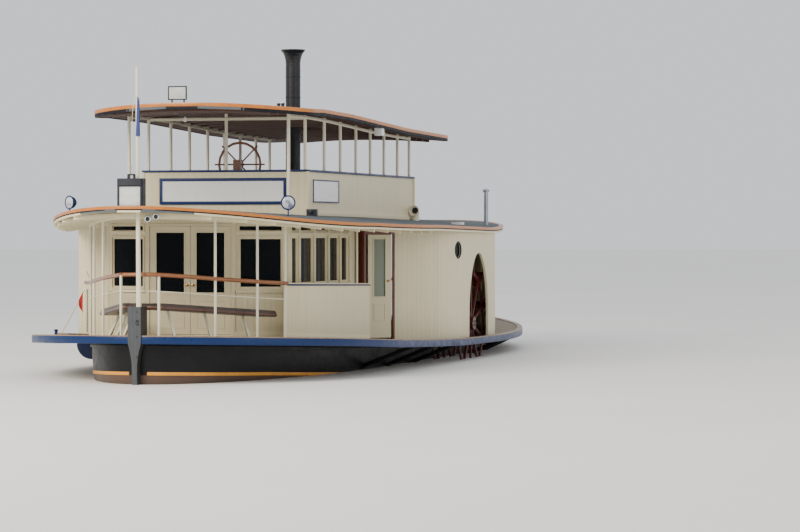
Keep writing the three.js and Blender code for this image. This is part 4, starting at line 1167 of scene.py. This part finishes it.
class STEAMER_OT_rails(bpy.types.Operator):
    """Varnished top rails, feet and collars of the railings and posts"""

    bl_idname = "steamer.rails"
    bl_label = "Rails"

    def execute(self, context):
        """A rounded timber rail covers each top tube along the tube's own curve."""
        timber, feet, caps = Pile(), Pile(), Pile()
        section = round_section(0.044, 14, 0.86)
        port = spline([(0.225, -0.318), (0.185, 0), BOW_POST, *TALL_POSTS, (2.745, 1.956)], 70)
        starboard = spline([(a, -y) for a, y in (BOW_POST, *TALL_POSTS, (3.0, 2.14))], 60)
        stern = spline(mirrored([(18.45, 1.8), (19.5, 1.43), (20.4, 0.85)], (20.75, 0)), 90)
        for line, height, rise in ((port, rail_z, 0.006), (starboard, rail_z, 0.006),
                                   (stern, deck_z, STERN_RAIL)):
            timber.beam(above(line, height, rise), section)
        timber.make("timber_rails", "rail timber", "varnished_timber")
        profile = [(0.055, 0.0), (0.055, 0.008), (0.036, 0.014), (0.03, 0.03)]
        collar = [(0.03, -0.03), (0.045, -0.014), (0.045, 0.0)]
        for a, y in (BOW_POST, *TALL_POSTS):
            for side in (1, -1):
                feet.turned(profile, at(a, side * y, deck_z(a) + 0.001), steps=18)
                if (a, y) != BOW_POST:
                    head = roof_z(a, y) - ROOF_THICK - 0.012
                    caps.turned(collar, at(a, side * y, head), steps=18)
        feet.make("post_feet", "post gloss", "post_paint")
        caps.make("post_collars", "post gloss", "post_paint")
        self.chain()
        return {"FINISHED"}

    def chain(self):
        """Round links down a starboard post: each a small ring, turned a quarter from the last."""
        links = Pile()
        for i, z in enumerate(np.linspace(0.84, 1.62, 24)):
            links.ring(0.017, 0.005, at(2.7, -1.995, DRAUGHT + z), (i % 2, 1 - i % 2, 0), 10, 6)
        links.make("rail_chain", "machine iron", "engine_iron")


class STEAMER_OT_machinery(bpy.types.Operator):
    """Bands of the funnel and the boiler, and the bearings' bolts"""

    bl_idname = "steamer.machinery"
    bl_label = "Machinery"

    def execute(self, context):
        """Bands round the funnel and boiler are shallow rings turned about their axes; the foot flares."""
        rings = Pile()
        inner, outer = FUNNEL_RADIUS - 0.004, FUNNEL_RADIUS + 0.008
        for z, high in ((DRAUGHT + 5.52, 0.03), (DRAUGHT + 5.95, 0.02)):
            band = [(inner, 0), (outer, 0.005), (outer, high - 0.005), (inner, high)]
            rings.turned(band, at(FUNNEL_AFT, 0, z), steps=40)
        foot = [(0.29, -0.005), (0.29, 0.008), (0.2, 0.02), (0.172, 0.12), (0.15, 0.125)]
        rings.turned(foot, at(FUNNEL_AFT, 0, top_z(FUNNEL_AFT, 0.0)), steps=40)
        rings.make("funnel_bands", "funnel black", "funnel_black")
        hoops = Pile()
        proud = BOILER_RADIUS + 0.01
        for a in HOOPS:
            hoop = [(BOILER_RADIUS, -0.02), (proud, -0.018), (proud, 0.018), (BOILER_RADIUS, 0.02)]
            hoops.turned(hoop, at(a, 0, BOILER_Z), (1, 0, 0), 48)
        bolt = [(0.02, 0), (0.018, 0.012), (0.001, 0.014)]
        for side in (1, -1):
            for turn in np.arange(8) * math.pi / 4:
                x, z = MIDSHIP - SHAFT_AFT + 0.11 * math.cos(turn), SHAFT_Z + 0.11 * math.sin(turn)
                hoops.turned(bolt, (x, side * HUB_FACE, z), (0, side, 0), 10)
        hoops.make("boiler_hoops", "bright steel", "engine_iron")
        return {"FINISHED"}


class STEAMER_OT_fittings(bpy.types.Operator):
    """Lamps, floodlights, ventilator lip and small fittings of the roofs"""

    bl_idname = "steamer.fittings"
    bl_label = "Fittings"

    def execute(self, context):
        """Each fitting stands on the roof or hangs under it."""
        self.round_lamps()
        self.floods()
        self.roof_boxes()
        return {"FINISHED"}

    def round_lamps(self):
        """A deep bowl turned about its own axis, with a bright reflector, a rim and a domed lens."""
        bowls, rims, mirrors, lenses = Pile(), Pile(), Pile(), Pile()
        for a, y, radius, rise, turn in ROUND_LAMPS:
            base = roof_z(a, y)
            centre = at(a, y, base + rise + radius)
            out = (math.cos(turn), math.sin(turn), 0)
            bowl = radius * np.array([(0.55, -1), (0.9, -0.55), (1, 0), (0.94, 0), (0.84, -0.5), (0.5, -0.9)])
            bowls.turned([(0.02, -radius * 1.1), *bowl, (0.02, -radius)], centre, out, 32)
            mirrors.turned([(radius * 0.93, -0.006), (radius * 0.8, -radius * 0.45),
                            (radius * 0.4, -radius * 0.8), (0.002, -radius * 0.86), (0.002, -radius * 0.9),
                            (radius * 0.42, -radius * 0.84), (radius * 0.83, -radius * 0.47),
                            (radius * 0.935, -0.008)], centre, out, 32)
            rims.ring(radius, 0.014, centre + 0.006 * np.array(out), out, 36)
            lenses.turned([(radius * 0.96, 0.0), (radius * 0.94, 0.008), (radius * 0.7, 0.024),
                           (radius * 0.35, 0.034), (0.002, 0.037)], centre, out, 32)
            stem = [(0.05, 0), (0.05, 0.008), (0.014, 0.014), (0.014, rise + 0.01)]
            bowls.turned(stem, at(a, y, base), steps=16)
        bowls.make("lamp_bowls", "navy", "lamp_navy")
        mirrors.make("lamp_reflectors", "reflector", "shaft_steel")
        rims.make("lamp_rims", "navy", "lamp_navy")
        lenses.make("lamp_lenses", "lamp glass", "sign_white")

    def floods(self):
        """A pale face in a dark frame: one under a broad hood on the jackstaff, one on the upper roof."""
        hood, face = Pile(), Pile()
        place = wall_axes(-0.26, 0, 0)
        low, high = DRAUGHT + 3.185, DRAUGHT + 3.525
        hood.casing(place, 0.2, low, high, soft_box(0.03, 0.03, 0.005, (0.015, 0.012)))
        hood.block(place, (-0.225, 0.225), (-0.01, 0.05), (high + 0.02, high + 0.14), 0.008)
        for y in (-0.055, 0.055):
            hood.block(place, (y - 0.02, y + 0.02), (-0.1, -0.06), (high + 0.14, high + 0.21), 0.006)
        hood.block(place, (-0.07, 0.07), (-0.1, -0.06), (high + 0.2, high + 0.225), 0.006)
        face.block(place, (-0.195, 0.195), (0.001, 0.009), (low + 0.003, high - 0.003), 0.003)
        foot = top_z(3.0, -0.28)
        low, high = foot + 0.09, foot + 0.32
        place = wall_axes(2.95, -0.28, 0)
        hood.casing(place, 0.17, low, high, soft_box(0.022, 0.03, 0.005, (0.006, -0.01)))
        hood.block(place, (-0.17, 0.17), (-0.09, -0.012), (low, high), 0.02)
        for y in (-0.12, 0.12):
            hood.block(place, (y - 0.012, y + 0.012), (-0.06, -0.03), (foot - 0.01, foot + 0.1))
        face.block(place, (-0.168, 0.168), (-0.0115, -0.004), (low + 0.003, high - 0.003), 0.003)
        hood.make("floodlight_hoods", "charcoal", "lamp_navy")
        face.make("floodlight_faces", "lit face", "sign_white")

    def roof_boxes(self):
        """Small lamps, vents and boxes on and under the roofs."""
        port_side_shade, white, bright, red = Pile(), Pile(), Pile(), Pile()
        ahead = (1, 0, 0)
        z = roof_z(4.6, 1.86)
        port_side_shade.block(wall_axes(4.6, 1.86, 0), (-0.1, 0.1), (-0.07, 0.07), (z - 0.005, z + 0.13), 0.02)
        lens = [(0.04, 0), (0.045, 0.01), (0.04, 0.05), (0.03, 0.055)]
        port_side_shade.turned(lens, at(4.54, 1.86, z + 0.08), ahead, 16)
        z = roof_z(11.9, 2.88)
        white.block(wall_axes(11.9, 2.88, 0), (-0.11, 0.11), (-0.16, 0.16), (z - 0.005, z + 0.05), 0.02)
        z = top_z(8.5, 2.1) - TOP_THICK
        under = wall_axes(8.5, 2.09, math.pi / 2)
        white.block(under, (-0.09, 0.09), (-0.085, 0.085), (z - 0.17, z - 0.01), 0.02)
        z = top_z(8.0, 0.13)
        red.block(wall_axes(8.0, 0.13, 0), (-0.11, 0.11), (-0.06, 0.06), (z - 0.005, z + 0.06), 0.012)
        valve = [(0.034, 0), (0.034, 0.17), (0.04, 0.175), (0.04, 0.2), (0.02, 0.205)]
        for y in (0.085, 0.175):
            port_side_shade.turned(valve, at(8.0, y, z + 0.06), steps=20)
        white.turned([(0.042, 0), (0.042, 0.03), (0.02, 0.036)], at(8.0, 0.175, z + 0.264), steps=20)
        for a, y, z in LAMPS_UNDER_ROOF:
            level = DRAUGHT + z
            head, facing = roof_z(a, y) - ROOF_THICK - 0.01, (1, 0, -0.1)
            bright.ring(0.05, 0.014, at(a, y, level), facing, 28)
            cup = [(0.02, -0.06), (0.045, -0.03), (0.048, 0.0), (0.002, 0.002)]
            port_side_shade.turned(cup, at(a, y, level), facing, 20)
            stem = [(0.01, 0), (0.01, head - level - 0.045)]
            bright.turned(stem, at(a + 0.01, y, level + 0.045), steps=10)
        wire = spline([(-0.67, 5.06), (-0.5, 4.96), (-0.32, 4.92), (-0.14, 4.97), (0.02, 5.03)], 30)
        bright.beam(at(3.5, wire[:, 0], DRAUGHT + wire[:, 1]), round_section(0.006, 6))
        bulb = [(0.002, -0.055), (0.03, -0.045), (0.04, -0.015), (0.03, 0.02), (0.012, 0.05), (0.002, 0.052)]
        white.turned(bulb, at(3.5, -0.32, DRAUGHT + 4.86), steps=16)
        mouth = at(COWL_AFT - 0.022, COWL_Y, roof_z(COWL_AFT, COWL_Y) + 0.215)
        port_side_shade.turned([(0.001, 0.0), (0.066, 0.0), (0.066, 0.004), (0.001, 0.004)], mouth, ahead, 24)
        lip = Pile().ring(0.106, 0.014, mouth + np.array([0.096, 0, 0]), ahead, 32)
        for pile, name, finish, slot in ((lip, "cowl_lip", "post gloss", "cream_paint"),
                                         (port_side_shade, "roof_gear_dark", "charcoal", "lamp_navy"),
                                         (white, "roof_gear_white", "sign white", "sign_white"),
                                         (bright, "small_lamps", "chrome", "shaft_steel"),
                                         (red, "roof_gear_red", "wheel red", "wheel_red")):
            pile.make(name, finish, slot)


class STEAMER_OT_bow_gear(bpy.types.Operator):
    """Puts a plank, a pole, a small bollard and a guard bracket on the starboard bow"""

    bl_idname = "steamer.bow_gear"
    bl_label = "Bow gear"

    def execute(self, context):
        """The bracket is a quarter circle in section, carried a short way along the hull."""
        line = np.linspace([2.3, -2.34], [3.3, -2.28], 8)
        plank = Pile().beam(above(line, deck_z, 0.03), soft_box(0.22, 0.04, 0.008))
        plank.make("boarding_plank", "worn timber", "varnished_timber")
        pole = Pile().beam(np.linspace(*POLE, 6), round_section(0.014, 10))
        pole.make("bow_pole", "post gloss", "post_paint")
        bollard = [(0.06, 0), (0.06, 0.012), (0.035, 0.03), (0.03, 0.09), (0.045, 0.11), (0.03, 0.125),
                   (0.002, 0.127)]
        port_side_shade = Pile().turned(bollard, at(2.82, -2.68, deck_z(2.82)), steps=18)
        turn = np.linspace(0, 0.5 * math.pi, 12)
        arc = 0.29 * np.stack([-np.cos(turn), -np.sin(turn)], -1)
        quarter = np.concatenate([[(0.03, 0.0)], arc, [(0.03, -0.29)]])
        port_side_shade.beam(at(np.linspace(2.5, 2.72, 4), -1.84, deck_z(2.6) - 0.14), quarter)
        port_side_shade.make("bow_fender", "navy", "lamp_navy")
        return {"FINISHED"}


class STEAMER_OT_flags(bpy.types.Operator):
    """Hangs a limp plain flag and its halyard on the jackstaff, and a pennant on the bow pole"""

    bl_idname = "steamer.flags"
    bl_label = "Flags"

    def execute(self, context):
        """The flag is gathered beside the staff: y and x swing as sines of the fold angle."""
        u, v = np.meshgrid(np.linspace(0, 1, 90), np.linspace(0, 1, 50), indexing="ij")
        fold = u * FLAG_FOLD
        spread = 0.012 + 0.018 * v
        y = 0.075 + 0.035 * u + spread * np.sin(fold * 1.9 + 0.8 * v) - 0.01 * v
        x = 0.012 + 0.03 * np.sin(fold + 0.6 * v) * (0.6 + 0.4 * v) + 0.02 * u
        z = FLAG_HEAD - FLAG_DROP * v - 0.06 * u * (1 - v) + 0.006 * np.sin(fold)
        flag = self.cloth("flag", np.stack([MIDSHIP + 0.045 + x, y, z], -1), "flag cloth", ["jackstaff"])
        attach(flag, "boat")
        halyard = at(-0.075, [-0.035, -0.03, 0.02], [2.95, 4.6, 5.16] + np.full(3, DRAUGHT))
        line = Pile().beam(spline(halyard, 24), round_section(0.004, 6))
        line.make("halyard", "post gloss", "post_paint")
        u, v = np.meshgrid(np.linspace(0, 1, 24), np.linspace(0, 1, 30), indexing="ij")
        foot, head = POLE
        points = head + (foot - head) * (0.04 + 0.17 * u[..., None])
        points[..., 0] += 0.016 + 0.014 * v * np.sin(6 * u + 3 * v)
        points[..., 2] -= v * (PENNANT_DROP - PENNANT_TAPER * u)
        pennant = self.cloth("bow_pennant", points, "red cloth", ["bow_pole"])
        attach(pennant, "boat")
        return {"FINISHED"}

    def cloth(self, name, points, finish, held_by):
        """A thin sheet from a grid of points."""
        sheet = grid_object(name, points)
        sheet.data.materials.append(paint(finish))
        thick = sheet.modifiers.new("Thickness", "SOLIDIFY")
        thick.thickness = CLOTH_THICK
        return sheet


class STEAMER_OT_furniture(bpy.types.Operator):
    """Slats, edging and struts of the benches"""

    bl_idname = "steamer.furniture"
    bl_label = "Furniture"

    def execute(self, context):
        """Slats run along each bench; the foredeck's follow lines between its outer and inner edges."""
        outer = np.array(mirrored([(2.74, -1.74), (0.38, -0.4)]))
        inner = np.array(mirrored([(2.74, -1.34), (0.56, -0.11)]))
        for name, finish, shares, rise, section in (
                ("slats", "dark timber", (0.1, 0.3, 0.5, 0.7, 0.9), 0.006, soft_box(0.058, 0.024, 0.006)),
                ("edging", "bench edge", (-0.03, 1.03), -0.064, soft_box(0.026, 0.04, 0.006))):
            pile = Pile()
            for share in shares:
                pile.beam(above(self.along(outer + (inner - outer) * share), self.seat, rise), section)
            pile.make(f"foredeck_bench_{name}", finish, "varnished_timber")
        struts, slats = Pile(), Pile()
        for side in (1, -1):
            for a, y in ((0.7, 0.5), (1.45, 0.93), (2.25, 1.39)):
                ends = at([a + 0.004, a + 0.106], side * np.array([y - 0.007, y - 0.183]),
                          [deck_z(a) + 0.002, self.seat(a) - 0.104])
                struts.beam(np.linspace(*ends, 4), round_section(0.026, 12))
            for y in np.linspace(*UPPER_BENCH_Y, 5):
                run = np.linspace(*UPPER_BENCH, 6)
                slats.beam(at(run, side * y, UPPER_SEAT), soft_box(0.066, 0.022, 0.007))
        struts.make("foredeck_bench_struts", "post gloss", "post_paint")
        slats.make("upper_bench_slats", "varnish", "varnished_timber")
        return {"FINISHED"}

    def seat(self, aft):
        """Height of the foredeck bench's top."""
        return FOREDECK_SEAT - SEAT_FALL * np.asarray(aft)

    def along(self, corners):
        """Points along straight runs between corners, eight to a run."""
        t = np.linspace(0, len(corners) - 1, 8 * (len(corners) - 1) + 1)
        return np.stack([np.interp(t, np.arange(len(corners)), corners[:, k]) for k in (0, 1)], -1)


GROUPS = (STEAMER_OT_camera, STEAMER_OT_stage, STEAMER_OT_solids, STEAMER_OT_hull, STEAMER_OT_deck,
          STEAMER_OT_walls, STEAMER_OT_windows, STEAMER_OT_doors, STEAMER_OT_roofs, STEAMER_OT_upper_boards,
          STEAMER_OT_rails, STEAMER_OT_machinery, STEAMER_OT_fittings, STEAMER_OT_bow_gear, STEAMER_OT_flags,
          STEAMER_OT_furniture)


class STEAMER_PT_panel(bpy.types.Panel):
    """Lists the boat's colours, sizes and groups of pieces"""

    bl_label = "Paddle steamer"
    bl_idname = "STEAMER_PT_panel"
    bl_space_type = "VIEW_3D"
    bl_region_type = "UI"
    bl_category = "Steamer"

    def draw(self, context):
        """Draws every property and a button for each group."""
        for kit in (context.scene.steamer_paint, context.scene.steamer_trim):
            box = self.layout.box()
            for name in kit.__annotations__:
                box.prop(kit, name)
        for group in GROUPS:
            self.layout.operator(group.bl_idname)


CLASSES = (SteamerPaint, SteamerTrim, *GROUPS, STEAMER_PT_panel)


def register():
    """Registers the classes and hangs the settings on the scene."""
    for cls in CLASSES:
        bpy.utils.register_class(cls)
    bpy.types.Scene.steamer_paint = PointerProperty(type=SteamerPaint)
    bpy.types.Scene.steamer_trim = PointerProperty(type=SteamerTrim)


def unregister():
    """Takes the settings off the scene and unregisters the classes."""
    del bpy.types.Scene.steamer_trim
    del bpy.types.Scene.steamer_paint
    for cls in reversed(CLASSES):
        bpy.utils.unregister_class(cls)


def main():
    """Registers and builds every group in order."""
    register()
    for group in GROUPS:
        call = getattr(bpy.ops.steamer, group.bl_idname.split(".")[1])
        call()


if __name__ == "__main__":
    main()
